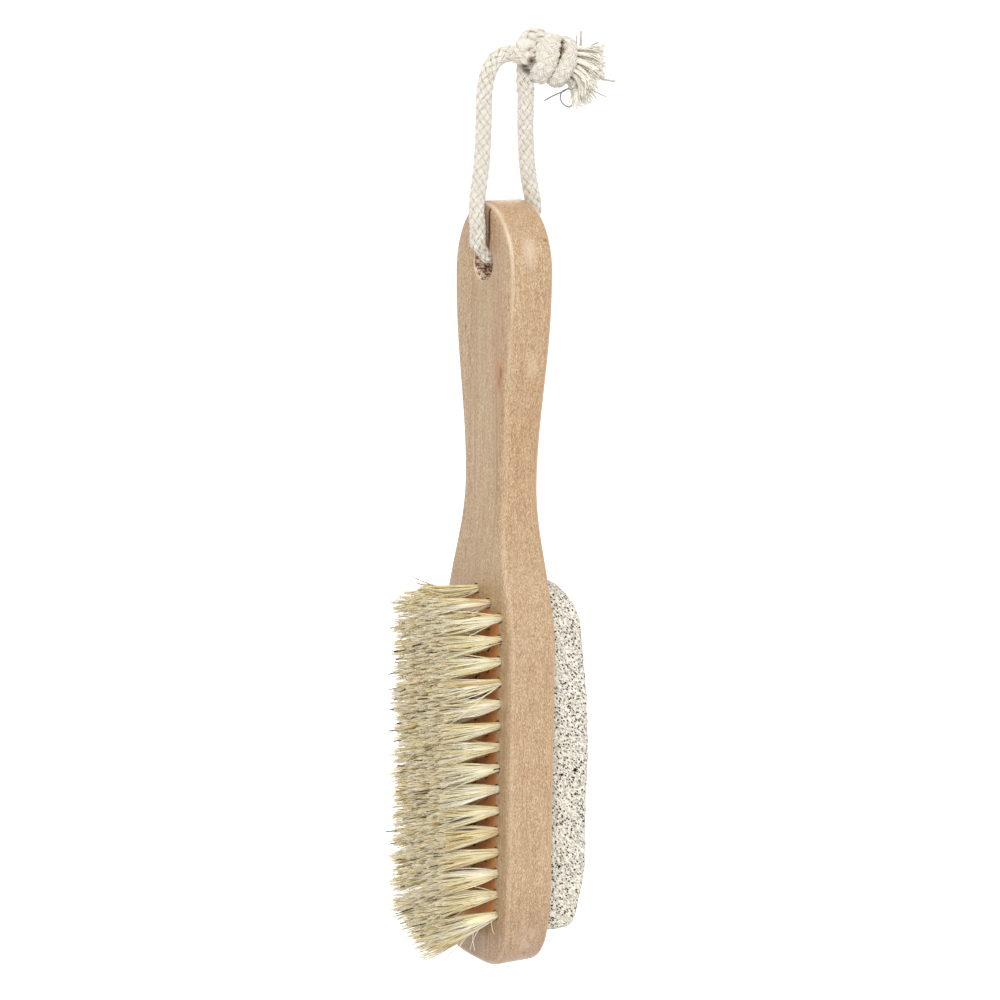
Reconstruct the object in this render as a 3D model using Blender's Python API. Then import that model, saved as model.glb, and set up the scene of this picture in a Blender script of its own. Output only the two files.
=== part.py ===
"""Double-sided wooden foot brush with natural bristles and a pumice slab, hanging from its rope loop.

The frame has +Z up along the brush, +X from the bristles to the pumice and the origin where the rope
loop rests on whatever it hangs from. Lengths along the brush are measured down from the handle's tip.
"""

import math

import bmesh
import bpy
from mathutils import Vector

MM = 0.001

# Clearances
GAP = 0.3 * MM

# Handle end, grip and waist of the wooden body
HANDLE_HALF_WIDTH = 16.2 * MM
HANDLE_END_DEPTH = 20.8 * MM
WAIST_HALF_WIDTH = 11.7 * MM
WAIST_POSITION = 81.0 * MM
HANDLE_THICKNESS = 14.6 * MM
WAIST_THICKNESS = 13.0 * MM
HANDLE_FLAT = 32.0 * MM
EDGE_ROUND = 2.5 * MM
GRIP_EDGE_ROUND = 3.5 * MM

# Bristle field
ROWS = 17
ROW_PITCH = 6.35 * MM
COLUMN_PITCH = 6.6 * MM
FIRST_TUFT = 112.6 * MM
SLICE_SIDE_MARGIN = 2.1 * MM
SLICE_DEPTH = 4.0 * MM
BRISTLE_LENGTH = 20.3 * MM
STRANDS_ROUND_TUFT = 5
STRAND_RADIUS = 0.42 * MM
STRAND_ROOT = 1.0 * MM
TUFT_ROOT_RADIUS = 1.1 * MM
TIP_GAP = 0.7 * MM
END_SPLAY = math.radians(12.0)
SPLAYED_ROWS = 4

# Head of the wooden body
SHOULDER_LAG = 16.4 * MM
HEAD_SIDE_MARGIN = 7.2 * MM
HEAD_TIP_MARGIN = 10.8 * MM
HEAD_END_DEPTH = 34.5 * MM
HEAD_END_SQUARENESS = 3.6
HEAD_THICKNESS = 15.6 * MM

# Rope hole
HOLE_RADIUS = 5.0 * MM
HOLE_INSET = 17.7 * MM
HOLE_RIM_ROUND = 1.0 * MM
HOLE_DROP = 56.4 * MM

# Pumice slab and its glue
PUMICE_LENGTH = 105.0 * MM
PUMICE_SIDE_MARGIN = 5.0 * MM
PUMICE_HEIGHT = 13.8 * MM
PUMICE_TOP_HEIGHT = 11.4 * MM
PUMICE_TIP_MARGIN = 9.3 * MM
PUMICE_ROUND_TOP = 14.0 * MM
PUMICE_RISE = 22.0 * MM
PUMICE_CUT_HEIGHT = 10.0 * MM
PUMICE_SLOPE = 21.0 * MM
PUMICE_CORNER = 4.0 * MM
PUMICE_EDGE_ROUND = 2.2 * MM
GLUE_THICKNESS = 0.4 * MM
GLUE_INSET = 2.0 * MM

# Rope, knot and frayed ends
ROPE_RADIUS = 2.5 * MM
LOOP_TOP_HALF_WIDTH = 6.9 * MM
LOOP_TOP_LEAN = 0.6 * MM
LOOP_TOP_DEPTH = 10.0 * MM
LOOP_END_SHIFT = 1.6 * MM
LOOP_END_RISE = 0.35 * MM
KNOT_NECK = Vector((1.4, 0.0, 0.4)) * MM
KNOT_DIRECTION = Vector((0.96, -0.22, -0.10)).normalized()
KNOT_CORE_RADIUS = 3.9 * MM
KNOT_WRAP_BITE = 1.75 * MM
KNOT_WRAP_SPACING = 0.5 * MM
KNOT_WRAP_SWELL = 0.7 * MM
KNOT_WRAP_TURNS = 2.1
KNOT_WRAP_START = 3.6 * MM
KNOT_UNDER_GAP = 1.4 * MM
KNOT_TAIL = 1.6 * MM
KNOT_TAIL_RADIUS = 2.9 * MM
TASSEL_LENGTH = 9.0 * MM
TASSEL_SPREAD = 6.2 * MM
TASSEL_DROOP = Vector((0.82, -0.30, -0.48)).normalized()

# Facets
EDGE_STEPS = 4
OUTLINE_STEP = 5.0 * MM
END_STEPS = 9
HOLE_SIDES = 32
ROPE_STEPS = 2
TUBE_SIDES = 10

TUFT_TIP_RADIUS = (ROW_PITCH - TIP_GAP) / 2 - STRAND_RADIUS
HEAD_HALF_WIDTH = 2 * COLUMN_PITCH + HEAD_SIDE_MARGIN
LENGTH = FIRST_TUFT + (ROWS - 1) * ROW_PITCH + HEAD_TIP_MARGIN
SHOULDER = FIRST_TUFT + SHOULDER_LAG
HEAD_END = LENGTH - HEAD_END_DEPTH
FIELD_TOP = FIRST_TUFT - ROW_PITCH / 2
FIELD_BOTTOM = FIRST_TUFT + (ROWS - 0.5) * ROW_PITCH
FIELD_HALF_WIDTH = 2 * COLUMN_PITCH + SLICE_SIDE_MARGIN
FIELD_SLOPE = ROW_PITCH / 2 / COLUMN_PITCH
PUMICE_HALF_WIDTH = HEAD_HALF_WIDTH - PUMICE_SIDE_MARGIN

LOOP_END = Vector((LOOP_END_SHIFT, 0.0, ROPE_RADIUS + LOOP_END_RISE))
KNOT_WRAP_RADIUS = KNOT_CORE_RADIUS + ROPE_RADIUS - KNOT_WRAP_BITE
KNOT_WRAP_PITCH = 2 * ROPE_RADIUS + KNOT_WRAP_SPACING
KNOT_LENGTH = KNOT_WRAP_START + KNOT_WRAP_PITCH * KNOT_WRAP_TURNS + ROPE_RADIUS + KNOT_TAIL


def clear_scene():
    """Remove whatever the scene holds."""
    for item in list(bpy.data.objects):
        bpy.data.objects.remove(item, do_unlink=True)


def make_material(name, colour, roughness, metallic=0.0):
    """Material of one colour."""
    material = bpy.data.materials.new(name)
    material.use_nodes = True
    shader = material.node_tree.nodes["Principled BSDF"]
    shader.inputs["Base Color"].default_value = (*colour, 1.0)
    shader.inputs["Roughness"].default_value = roughness
    shader.inputs["Metallic"].default_value = metallic
    return material


def place(name, data, material=None, parent=None, location=(0.0, 0.0, 0.0)):
    """Named piece at a location relative to its parent."""
    item = bpy.data.objects.new(name, data)
    bpy.context.scene.collection.objects.link(item)
    item.parent = parent
    item.location = location
    if material is not None:
        data.materials.append(material)
    return item


def hide_helper(item):
    """Mark a cutter or an added body as a helper that isn't a piece of the brush."""
    item.hide_render = True
    item.display_type = "WIRE"
    return item


def combine(item, helper, operation):
    """Cut a helper out of an item, or fuse it to the item."""
    modifier = item.modifiers.new(helper.name, "BOOLEAN")
    modifier.operation = operation
    modifier.solver = "EXACT"
    modifier.object = helper


def finish_mesh(name, bm, smooth_angle=None):
    """Mesh of a closed shape, with its faces pointing out."""
    bmesh.ops.recalc_face_normals(bm, faces=bm.faces)
    mesh = bpy.data.meshes.new(name)
    bm.to_mesh(mesh)
    bm.free()
    if smooth_angle is not None:
        mesh.shade_smooth()
        mesh.set_sharp_from_angle(angle=math.radians(smooth_angle))
    return mesh


def skin_rings(bm, rings, capped=True):
    """Join rings of equally many points with quads and close both ends."""
    loops = [[bm.verts.new(point) for point in ring] for ring in rings]
    count = len(rings[0])
    for lower, upper in zip(loops, loops[1:]):
        for index in range(count):
            after = (index + 1) % count
            bm.faces.new((lower[index], lower[after], upper[after], upper[index]))
    if capped:
        bm.faces.new(loops[0])
        bm.faces.new(loops[-1])
    return loops


def ease(value):
    """Go smoothly from 0 to 1 while value does."""
    value = min(max(value, 0.0), 1.0)
    return value * value * (3.0 - 2.0 * value)


def level(down):
    """Height of a point that lies this far down from the handle's tip, over the rope hole's centre."""
    return HOLE_INSET - down


def body_outline():
    """Half widths of the wooden body and their distances down from the handle's tip."""
    points = []
    for step in range(END_STEPS):
        angle = math.pi / 2 * step / END_STEPS
        points.append((HANDLE_HALF_WIDTH * math.sin(angle), HANDLE_END_DEPTH * (1 - math.cos(angle))))
    stretches = (
        (HANDLE_END_DEPTH, WAIST_POSITION, HANDLE_HALF_WIDTH, WAIST_HALF_WIDTH, 1.0),
        (WAIST_POSITION, SHOULDER, WAIST_HALF_WIDTH, HEAD_HALF_WIDTH, 1.35),
        (SHOULDER, HEAD_END, HEAD_HALF_WIDTH, HEAD_HALF_WIDTH, 1.0),
    )
    for start, end, first, last, lean in stretches:
        steps = max(2, round((end - start) / OUTLINE_STEP))
        for step in range(steps):
            share = step / steps
            points.append((first + (last - first) * ease(share ** lean), start + (end - start) * share))
    power = 2.0 / HEAD_END_SQUARENESS
    for step in range(END_STEPS + 1):
        angle = math.pi / 2 * step / END_STEPS
        half = HEAD_HALF_WIDTH * max(math.cos(angle), 0.0) ** power
        points.append((half, HEAD_END + HEAD_END_DEPTH * math.sin(angle) ** power))
    points[-1] = (0.0, LENGTH)
    return points


def half_thickness(down):
    """Half the body's thickness: even at both ends, slimmer at the waist."""
    grip = ease((down - HANDLE_FLAT) / (WAIST_POSITION - HANDLE_FLAT))
    neck = ease((down - WAIST_POSITION) / (FIELD_TOP - WAIST_POSITION))
    thickness = HANDLE_THICKNESS + (WAIST_THICKNESS - HANDLE_THICKNESS) * grip
    thickness += (HEAD_THICKNESS - WAIST_THICKNESS) * neck
    return thickness / 2


def edge_round(down):
    """Radius of the rounded long edges, larger where the hand closes round the grip."""
    grip = ease((down - HANDLE_FLAT) / (WAIST_POSITION - HANDLE_FLAT))
    neck = ease((down - WAIST_POSITION) / (FIELD_TOP - WAIST_POSITION))
    return EDGE_ROUND + (GRIP_EDGE_ROUND - EDGE_ROUND) * (grip - neck)


def body_loop():
    """Outline points round the whole body, each with its inward direction."""
    side = body_outline()
    loop = side + [(-half, down) for half, down in reversed(side[1:-1])]
    count = len(loop)
    result = []
    for index, (half, down) in enumerate(loop):
        before = loop[index - 1]
        after = loop[(index + 1) % count]
        along = Vector((after[0] - before[0], after[1] - before[1])).normalized()
        result.append((half, down, Vector((-along.y, along.x))))
    return result


def body_mesh():
    """Rounded paddle: rings of its edge, then a strip of planks over each broad face."""
    loop = body_loop()
    rings = []
    for side in (-1, 1):
        for step in range(EDGE_STEPS + 1):
            share = step if side > 0 else EDGE_STEPS - step
            angle = math.pi / 2 * share / EDGE_STEPS
            ring = []
            for half, down, inward in loop:
                radius = edge_round(down)
                inset = radius * (1 - math.cos(angle))
                out = half_thickness(down) - radius * (1 - math.sin(angle))
                across = half + inward.x * inset
                ring.append((side * out, -across, level(down + inward.y * inset)))
            rings.append(ring)
    bm = bmesh.new()
    loops = skin_rings(bm, rings, capped=False)
    count = len(loop)
    tip = count // 2
    for edge in (loops[0], loops[-1]):
        bm.faces.new((edge[0], edge[1], edge[count - 1]))
        bm.faces.new((edge[tip - 1], edge[tip], edge[tip + 1]))
        for index in range(1, tip - 1):
            other = count - index
            bm.faces.new((edge[index], edge[index + 1], edge[other - 1], edge[other]))
    return finish_mesh("wood_body", bm, 40)


def hole_cutter_mesh():
    """Rope hole as a turned body that flares round both rims."""
    half = HANDLE_THICKNESS / 2
    profile = [(-half - GAP, HOLE_RADIUS + HOLE_RIM_ROUND)]
    for step in range(4):
        angle = math.pi / 2 * step / 3
        out = half - HOLE_RIM_ROUND * (1 - math.cos(angle))
        profile.append((-out, HOLE_RADIUS + HOLE_RIM_ROUND * (1 - math.sin(angle))))
    profile += [(-along, radius) for along, radius in reversed(profile)]
    bm = bmesh.new()
    rings = []
    for along, radius in profile:
        turn = [2 * math.pi * (side + 0.5) / HOLE_SIDES for side in range(HOLE_SIDES)]
        rings.append([(along, radius * math.cos(angle), radius * math.sin(angle)) for angle in turn])
    skin_rings(bm, rings)
    return finish_mesh("hole_cutter", bm)


def v_band(top, bottom, limit, half_width):
    """Outline of a V-shaped band across the field, cut off along the field's lower slopes."""
    corners = [(0.0, top), (half_width, top + FIELD_SLOPE * half_width),
               (half_width, bottom + FIELD_SLOPE * half_width), (0.0, bottom)]
    kept = []
    for (half, down), (half_next, down_next) in zip(corners, corners[1:] + corners[:1]):
        over = down + FIELD_SLOPE * half - limit
        over_next = down_next + FIELD_SLOPE * half_next - limit
        if over <= 0:
            kept.append((half, down))
        if over * over_next < 0:
            share = over / (over - over_next)
            kept.append((half + (half_next - half) * share, down + (down_next - down) * share))
    right = [point for point in kept if point[0] > 0]
    middle = [point for point in kept if point[0] <= 0]
    left = [(-half, down) for half, down in reversed(right)]
    return [middle[0]] + right + [middle[-1]] + left


def band_prism(name, outline, start, end, origin):
    """Extrude a field outline along X, seen from a point that lies origin down from the handle's tip."""
    bm = bmesh.new()
    rings = [[(along, -half, origin - down) for half, down in outline] for along in (start, end)]
    skin_rings(bm, rings)
    return finish_mesh(name, bm)


def row_tufts(row):
    """Tufts of one row: their places across and down from the row's middle tuft."""
    tufts = [(0.0, 0.0)]
    if row < ROWS - 1:
        tufts += [(side * COLUMN_PITCH, ROW_PITCH / 2) for side in (-1, 1)]
    if row < ROWS - 2:
        tufts += [(side * 2 * COLUMN_PITCH, ROW_PITCH) for side in (-1, 1)]
    return tufts


def strand(bm, root, tip, turn):
    """Three-sided strand from its root in the wood to its trimmed tip."""
    along = (tip - root).normalized()
    across = along.orthogonal().normalized()
    other = along.cross(across)
    rings = []
    for centre, radius in ((root, STRAND_RADIUS), (tip, STRAND_RADIUS * 0.8)):
        angles = [turn + 2 * math.pi * side / 3 for side in range(3)]
        rings.append([centre + (across * math.cos(a) + other * math.sin(a)) * radius for a in angles])
    skin_rings(bm, rings)


def strands_mesh(name, row):
    """All strands of one row: each tuft fans out, and the last rows lean towards the head's tip."""
    bm = bmesh.new()
    lean = END_SPLAY * max(0.0, (row - (ROWS - 1 - SPLAYED_ROWS)) / SPLAYED_ROWS) ** 2
    sink = -math.tan(lean)
    for tuft, (across, down) in enumerate(row_tufts(row)):
        centre = Vector((0.0, -across, -down))
        places = [(0.0, 0.0)]
        for index in range(STRANDS_ROUND_TUFT):
            angle = 2 * math.pi * (index + 0.5 * (tuft % 2)) / STRANDS_ROUND_TUFT
            places.append((math.cos(angle), math.sin(angle)))
        for index, (side, up) in enumerate(places):
            spread = Vector((0.0, side, up))
            fan = (TUFT_TIP_RADIUS - TUFT_ROOT_RADIUS) / BRISTLE_LENGTH
            start = centre + spread * (TUFT_ROOT_RADIUS - fan * STRAND_ROOT)
            start += Vector((STRAND_ROOT, 0.0, -sink * STRAND_ROOT))
            end = centre + spread * TUFT_TIP_RADIUS
            end += Vector((-BRISTLE_LENGTH, 0.0, sink * BRISTLE_LENGTH))
            strand(bm, start, end, 0.7 * index + tuft)
    return finish_mesh(name, bm)


def pumice_profile():
    """Distance down from the slab's top, half width and height at each station of the slab."""
    half = PUMICE_HALF_WIDTH
    stations = []
    for step in range(1, END_STEPS):
        angle = math.pi / 2 * step / END_STEPS
        rise = math.sin(angle)
        down = PUMICE_ROUND_TOP * (1 - math.cos(angle))
        width = half - PUMICE_ROUND_TOP * (1 - rise) * 0.8
        stations.append((down, width, PUMICE_TOP_HEIGHT * rise ** 0.8))
    for step in range(6):
        share = step / 5
        height = PUMICE_TOP_HEIGHT + (PUMICE_HEIGHT - PUMICE_TOP_HEIGHT) * ease(share)
        stations.append((PUMICE_ROUND_TOP + PUMICE_RISE * share, half, height))
    for step in range(6):
        share = step / 5
        down = PUMICE_LENGTH - PUMICE_SLOPE + (PUMICE_SLOPE - PUMICE_CORNER) * share
        drop = (PUMICE_HEIGHT - PUMICE_CUT_HEIGHT) * (share * 0.8) ** 2
        stations.append((down, half, PUMICE_HEIGHT - drop))
    for step in range(1, 5):
        angle = math.pi / 2 * step / 4
        down = PUMICE_LENGTH - PUMICE_CORNER * (1 - math.sin(angle))
        share = (down - PUMICE_LENGTH + PUMICE_SLOPE) / PUMICE_SLOPE
        height = PUMICE_HEIGHT - (PUMICE_HEIGHT - PUMICE_CUT_HEIGHT) * share ** 2
        stations.append((down, half - PUMICE_CORNER * (1 - math.cos(angle)), height))
    return stations


def pumice_mesh():
    """Pumice slab: a loft of rounded sections, round at the handle side and cut off at the tip side."""
    rings = []
    for down, half, height in pumice_profile():
        radius = min(PUMICE_EDGE_ROUND, half * 0.6, height * 0.6)
        ring = [(0.0, -half, -down)]
        for side in (-1, 1):
            for step in range(4):
                share = step if side < 0 else 3 - step
                angle = math.pi / 2 * share / 3
                across = half - radius * (1 - math.cos(angle))
                ring.append((height - radius * (1 - math.sin(angle)), side * across, -down))
        ring.append((0.0, half, -down))
        rings.append(ring)
    bm = bmesh.new()
    skin_rings(bm, rings)
    return finish_mesh("pumice_stone", bm, 35)


def glue_mesh():
    """Thin glue layer, drawn in from the slab's outline on all sides."""
    half = PUMICE_HALF_WIDTH - GLUE_INSET
    length = PUMICE_LENGTH - 2 * GLUE_INSET
    top_corner = PUMICE_ROUND_TOP - GLUE_INSET
    low_corner = PUMICE_CORNER
    outline = []
    corners = ((1, top_corner, 0.0), (1, low_corner, 90.0), (-1, low_corner, 180.0), (-1, top_corner, 270.0))
    for side, radius, start in corners:
        end = top_corner if start in (0.0, 270.0) else length - radius
        for step in range(5):
            angle = math.radians(start + 90.0 * step / 4)
            across = side * (half - radius) + radius * math.sin(angle)
            outline.append((across, end - radius * math.cos(angle)))
    bm = bmesh.new()
    rings = [[(along, -across, -down) for across, down in outline] for along in (0.0, GLUE_THICKNESS)]
    skin_rings(bm, rings)
    return finish_mesh("pumice_adhesive", bm)


def smooth_route(points, steps):
    """Read points from a smooth curve through the given ones."""
    route = [Vector(point) for point in points]
    padded = [2 * route[0] - route[1]] + route + [2 * route[-1] - route[-2]]
    result = []
    for before, start, end, after in zip(padded, padded[1:], padded[2:], padded[3:]):
        for step in range(steps):
            t = step / steps
            point = 2 * start + (end - before) * t
            point += (2 * before - 5 * start + 4 * end - after) * t * t
            point += (3 * start - before - 3 * end + after) * t ** 3
            result.append(point / 2)
    result.append(route[-1])
    return result


def loop_side():
    """One strand of the loop beside the hole, from the middle of the hole up past the handle's tip."""
    corner = HANDLE_THICKNESS / 2 - HOLE_RIM_ROUND
    bend = HOLE_RIM_ROUND + GAP + ROPE_RADIUS
    middle = HOLE_RADIUS + HOLE_RIM_ROUND
    points = [(0.0, middle - bend), (corner / 2, middle - bend)]
    for step in range(4):
        angle = math.pi / 2 * step / 3
        points.append((corner + bend * math.sin(angle), middle - bend * math.cos(angle)))
    clear = HOLE_INSET - EDGE_ROUND
    points += [(corner + bend, (middle + clear) / 2), (corner + bend, clear)]
    return [(across, height - HOLE_DROP) for across, height in points]


def loop_route():
    """Free loop of the rope, from the knot's neck over the hook, down, through the hole and up again."""
    side = loop_side()
    spread, clear = side[-1]
    near = LOOP_TOP_HALF_WIDTH + LOOP_TOP_LEAN
    far = LOOP_TOP_HALF_WIDTH - LOOP_TOP_LEAN
    top = [(LOOP_END.x, LOOP_END.z), (-0.6 * LOOP_END.x, ROPE_RADIUS)]
    top += [(-near * across, ROPE_RADIUS - LOOP_TOP_DEPTH * down)
            for across, down in ((0.5, 0.13), (0.78, 0.42), (0.93, 0.75))]
    down = [(-near - (spread - near) * share ** 3, -LOOP_TOP_DEPTH + (clear + LOOP_TOP_DEPTH) * share)
            for share in (0.0, 0.3, 0.6, 0.85)]
    up = [(far + (spread - far) * share ** 3, -LOOP_TOP_DEPTH + (clear + LOOP_TOP_DEPTH) * share)
          for share in (0.85, 0.6, 0.3, 0.0)]
    knot_low = LOOP_END.z + KNOT_NECK.z - KNOT_WRAP_RADIUS - KNOT_WRAP_SWELL - ROPE_RADIUS
    up.append((far - 0.15 * MM, knot_low - KNOT_UNDER_GAP))
    half = [(-across, height) for across, height in side[:0:-1]]
    route = top + down + half + side + up
    return smooth_route([(across, 0.0, height) for across, height in route], ROPE_STEPS)


def rope_curve():
    """Free loop of the rope as a round tube along its route."""
    curve = bpy.data.curves.new("rope_loop", "CURVE")
    curve.dimensions = "3D"
    curve.bevel_depth = ROPE_RADIUS
    curve.bevel_resolution = 3
    curve.use_fill_caps = True
    route = loop_route()
    spline = curve.splines.new("POLY")
    spline.points.add(len(route) - 1)
    for point, position in zip(spline.points, route):
        point.co = (*position, 1.0)
    return curve


def tube_mesh(name, points, radii):
    """Closed round tube along points, with the given radius at each of them."""
    rings = []
    along = (points[1] - points[0]).normalized()
    across = along.orthogonal().normalized()
    for index, (point, radius) in enumerate(zip(points, radii)):
        before = points[max(index - 1, 0)]
        after = points[min(index + 1, len(points) - 1)]
        along = (after - before).normalized()
        across = (across - along * across.dot(along)).normalized()
        other = along.cross(across)
        angles = [2 * math.pi * side / TUBE_SIDES for side in range(TUBE_SIDES)]
        rings.append([point + (across * math.cos(a) + other * math.sin(a)) * radius for a in angles])
    bm = bmesh.new()
    skin_rings(bm, rings)
    return finish_mesh(name, bm, 50)


def knot_point(along, radius=0.0, turn=0.0):
    """Point of the knot at a distance along its axis, off the axis by a radius in one direction."""
    upright = (Vector((0, 0, 1)) - KNOT_DIRECTION * KNOT_DIRECTION.z).normalized()
    sideways = KNOT_DIRECTION.cross(upright)
    out = upright * math.cos(turn) + sideways * math.sin(turn)
    return LOOP_END + KNOT_NECK + KNOT_DIRECTION * along + out * radius


def knot_core_mesh():
    """The near strand and the two strands drawn tight through the knot, as one swelling core."""
    end, before = loop_route()[:2]
    ahead = (end - before).normalized()
    points = [end + ahead * GAP, end + ahead * (GAP + MM)]
    radii = [ROPE_RADIUS, ROPE_RADIUS]
    for share, radius in ((0.25, 0.5), (0.45, 1.0), (0.7, 1.0), (0.9, 0.5), (1.0, 0.0)):
        points.append(knot_point(KNOT_LENGTH * share))
        slim = ROPE_RADIUS if share < 0.5 else KNOT_TAIL_RADIUS
        radii.append(slim + (KNOT_CORE_RADIUS - slim) * radius)
    return tube_mesh("rope_knot", points, radii)


def knot_wrap_mesh():
    """The rope's turns round the knot."""
    steps = round(14 * KNOT_WRAP_TURNS)
    points = []
    for step in range(steps + 1):
        share = step / steps
        along = KNOT_WRAP_START + KNOT_WRAP_PITCH * KNOT_WRAP_TURNS * share
        radius = KNOT_WRAP_RADIUS + KNOT_WRAP_SWELL * math.sin(math.pi * share)
        points.append(knot_point(along, radius, 2 * math.pi * KNOT_WRAP_TURNS * share + 2.4))
    return tube_mesh("knot_wrap", points, [ROPE_RADIUS] * len(points))


def knot_strand_mesh():
    """The far strand where it goes up into the knot."""
    end, before = loop_route()[:-3:-1]
    ahead = (end - before).normalized()
    points = [end + ahead * GAP, end + ahead * (GAP + MM), knot_point(KNOT_LENGTH * 0.35)]
    return tube_mesh("knot_strand", points, [ROPE_RADIUS] * 3)


def tassel_mesh():
    """Both rope ends, frayed into one flared tuft with a wavy rim."""
    middle = knot_point(KNOT_LENGTH + GAP)
    neck = KNOT_TAIL_RADIUS
    steps = 6
    rings = []
    for step in range(steps + 1):
        share = step / steps
        along = KNOT_DIRECTION.lerp(TASSEL_DROOP, ease(share * 1.5)).normalized()
        if step:
            middle = middle + along * (TASSEL_LENGTH / steps)
        upright = (Vector((0, 0, 1)) - along * along.z).normalized()
        sideways = along.cross(upright)
        radius = neck + (TASSEL_SPREAD - neck) * share ** 1.3
        ring = []
        for side in range(2 * TUBE_SIDES):
            angle = math.pi * side / TUBE_SIDES
            wave = 1 + 0.14 * share * math.cos(7 * angle)
            high = radius * wave * math.cos(angle)
            wide = radius * wave * math.sin(angle) * (1 - 0.3 * share)
            ring.append(middle + upright * high + sideways * wide)
        rings.append(ring)
    bm = bmesh.new()
    skin_rings(bm, rings)
    return finish_mesh("rope_tassel", bm, 50)


def build_body(pivot, wood):
    """Wooden body with its rope hole and the seat of the bristle rows."""
    body = place("wood_body", body_mesh(), wood, pivot)
    hole = hide_helper(place("hole_cutter", hole_cutter_mesh(), None, pivot))
    combine(body, hole, "DIFFERENCE")
    seat = v_band(FIELD_TOP - GAP, FIELD_BOTTOM + 2 * FIELD_SLOPE * FIELD_HALF_WIDTH,
                  FIELD_BOTTOM + GAP, FIELD_HALF_WIDTH + GAP)
    face = -HEAD_THICKNESS / 2
    mesh = band_prism("seat_cutter", seat, face - GAP, face + SLICE_DEPTH + GAP, HOLE_INSET)
    cutter = hide_helper(place("seat_cutter", mesh, None, pivot))
    combine(body, cutter, "DIFFERENCE")


def build_rows(pivot, bristle):
    """Rows of tufts, each fused to its slice of the head."""
    for row in range(ROWS):
        number = f"{row + 1:02d}"
        middle = FIRST_TUFT + row * ROW_PITCH
        half_band = (ROW_PITCH - GAP) / 2
        outline = v_band(middle - half_band, middle + half_band, FIELD_BOTTOM, FIELD_HALF_WIDTH)
        slice_mesh = band_prism("bristle_row_" + number, outline, 0.0, SLICE_DEPTH, middle)
        location = (-HEAD_THICKNESS / 2, 0.0, level(middle))
        item = place("bristle_row_" + number, slice_mesh, bristle, pivot, location)
        mesh = strands_mesh("strands_" + number, row)
        helper = hide_helper(place("strands_" + number, mesh, bristle, pivot, location))
        combine(item, helper, "UNION")


def build_pumice(pivot, stone, glue):
    """Pumice slab on its glue layer, on the plain broad side of the head."""
    top = LENGTH - PUMICE_TIP_MARGIN - PUMICE_LENGTH
    face = HEAD_THICKNESS / 2 + GAP
    place("pumice_adhesive", glue_mesh(), glue, pivot, (face, 0.0, level(top + GLUE_INSET)))
    place("pumice_stone", pumice_mesh(), stone, pivot, (face + GLUE_THICKNESS + GAP, 0.0, level(top)))


def build_rope(cotton, frayed):
    """Rope loop, its knot and its frayed ends."""
    place("rope_loop", rope_curve(), cotton)
    knot = place("rope_knot", knot_core_mesh(), cotton)
    wrap = hide_helper(place("knot_wrap", knot_wrap_mesh(), cotton))
    combine(knot, wrap, "UNION")
    far_strand = hide_helper(place("knot_strand", knot_strand_mesh(), cotton))
    combine(knot, far_strand, "UNION")
    place("rope_tassel", tassel_mesh(), frayed)


def main():
    clear_scene()
    pivot = bpy.data.objects.new("swing_axis", None)
    bpy.context.scene.collection.objects.link(pivot)
    pivot.location = (0.0, 0.0, -HOLE_DROP)
    wood = make_material("beech", (0.62, 0.43, 0.26), 0.5)
    bristle = make_material("bristle", (0.80, 0.72, 0.48), 0.6)
    stone = make_material("pumice", (0.78, 0.76, 0.70), 0.95)
    glue = make_material("glue", (0.85, 0.82, 0.72), 0.4)
    cotton = make_material("cotton_rope", (0.86, 0.83, 0.76), 0.9)
    frayed = make_material("cotton_fray", (0.90, 0.88, 0.82), 0.95)
    build_body(pivot, wood)
    build_rows(pivot, bristle)
    build_pumice(pivot, stone, glue)
    build_rope(cotton, frayed)
    bpy.context.view_layer.update()


main()
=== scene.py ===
import math

import bmesh
import bpy
import numpy as np
from mathutils import Matrix, Vector, kdtree


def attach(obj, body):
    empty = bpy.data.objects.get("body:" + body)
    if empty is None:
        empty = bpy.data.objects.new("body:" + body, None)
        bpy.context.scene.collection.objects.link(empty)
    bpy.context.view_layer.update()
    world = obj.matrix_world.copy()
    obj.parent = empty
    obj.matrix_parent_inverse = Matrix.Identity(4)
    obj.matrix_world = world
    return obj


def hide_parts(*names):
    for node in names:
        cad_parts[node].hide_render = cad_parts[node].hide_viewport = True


# Sizes and places are in millimetres, and new_mesh scales them by MM. The coordinates in materials are metres.
MM = 0.001
# The range of a random angle
ANY_TURN = 6.28
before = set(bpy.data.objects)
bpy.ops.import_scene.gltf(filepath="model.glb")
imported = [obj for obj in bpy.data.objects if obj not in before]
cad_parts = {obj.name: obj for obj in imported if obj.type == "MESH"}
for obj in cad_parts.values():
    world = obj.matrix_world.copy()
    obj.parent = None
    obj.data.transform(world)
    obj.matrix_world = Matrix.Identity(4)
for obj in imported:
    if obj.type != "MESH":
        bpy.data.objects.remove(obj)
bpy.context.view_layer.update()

# Sizes of the part, as in its source
HANDLE_HALF_WIDTH = 16.2
HANDLE_END_DEPTH = 20.8
WAIST_HALF_WIDTH = 11.7
WAIST_POSITION = 81.0
HANDLE_THICKNESS = 14.6
WAIST_THICKNESS = 13.0
HANDLE_FLAT = 32.0
EDGE_ROUND = 2.5
GRIP_EDGE_ROUND = 3.5
ROWS = 17
ROW_PITCH = 6.35
COLUMN_PITCH = 6.6
FIRST_TUFT = 112.6
BRISTLE_LENGTH = 20.3
SHOULDER = 129.0
SHOULDER_LEAN = 1.35
HEAD_HALF_WIDTH = 20.4
LENGTH = 225.0
HEAD_END_DEPTH = 34.5
HEAD_END = LENGTH - HEAD_END_DEPTH
HEAD_END_SQUARENESS = 3.6
HEAD_THICKNESS = 15.6
FIELD_TOP = FIRST_TUFT - ROW_PITCH / 2
HOLE_RADIUS = 5.0
HOLE_INSET = 17.7
HOLE_RIM_ROUND = 1.0
HOLE_DROP = 56.4
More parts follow.
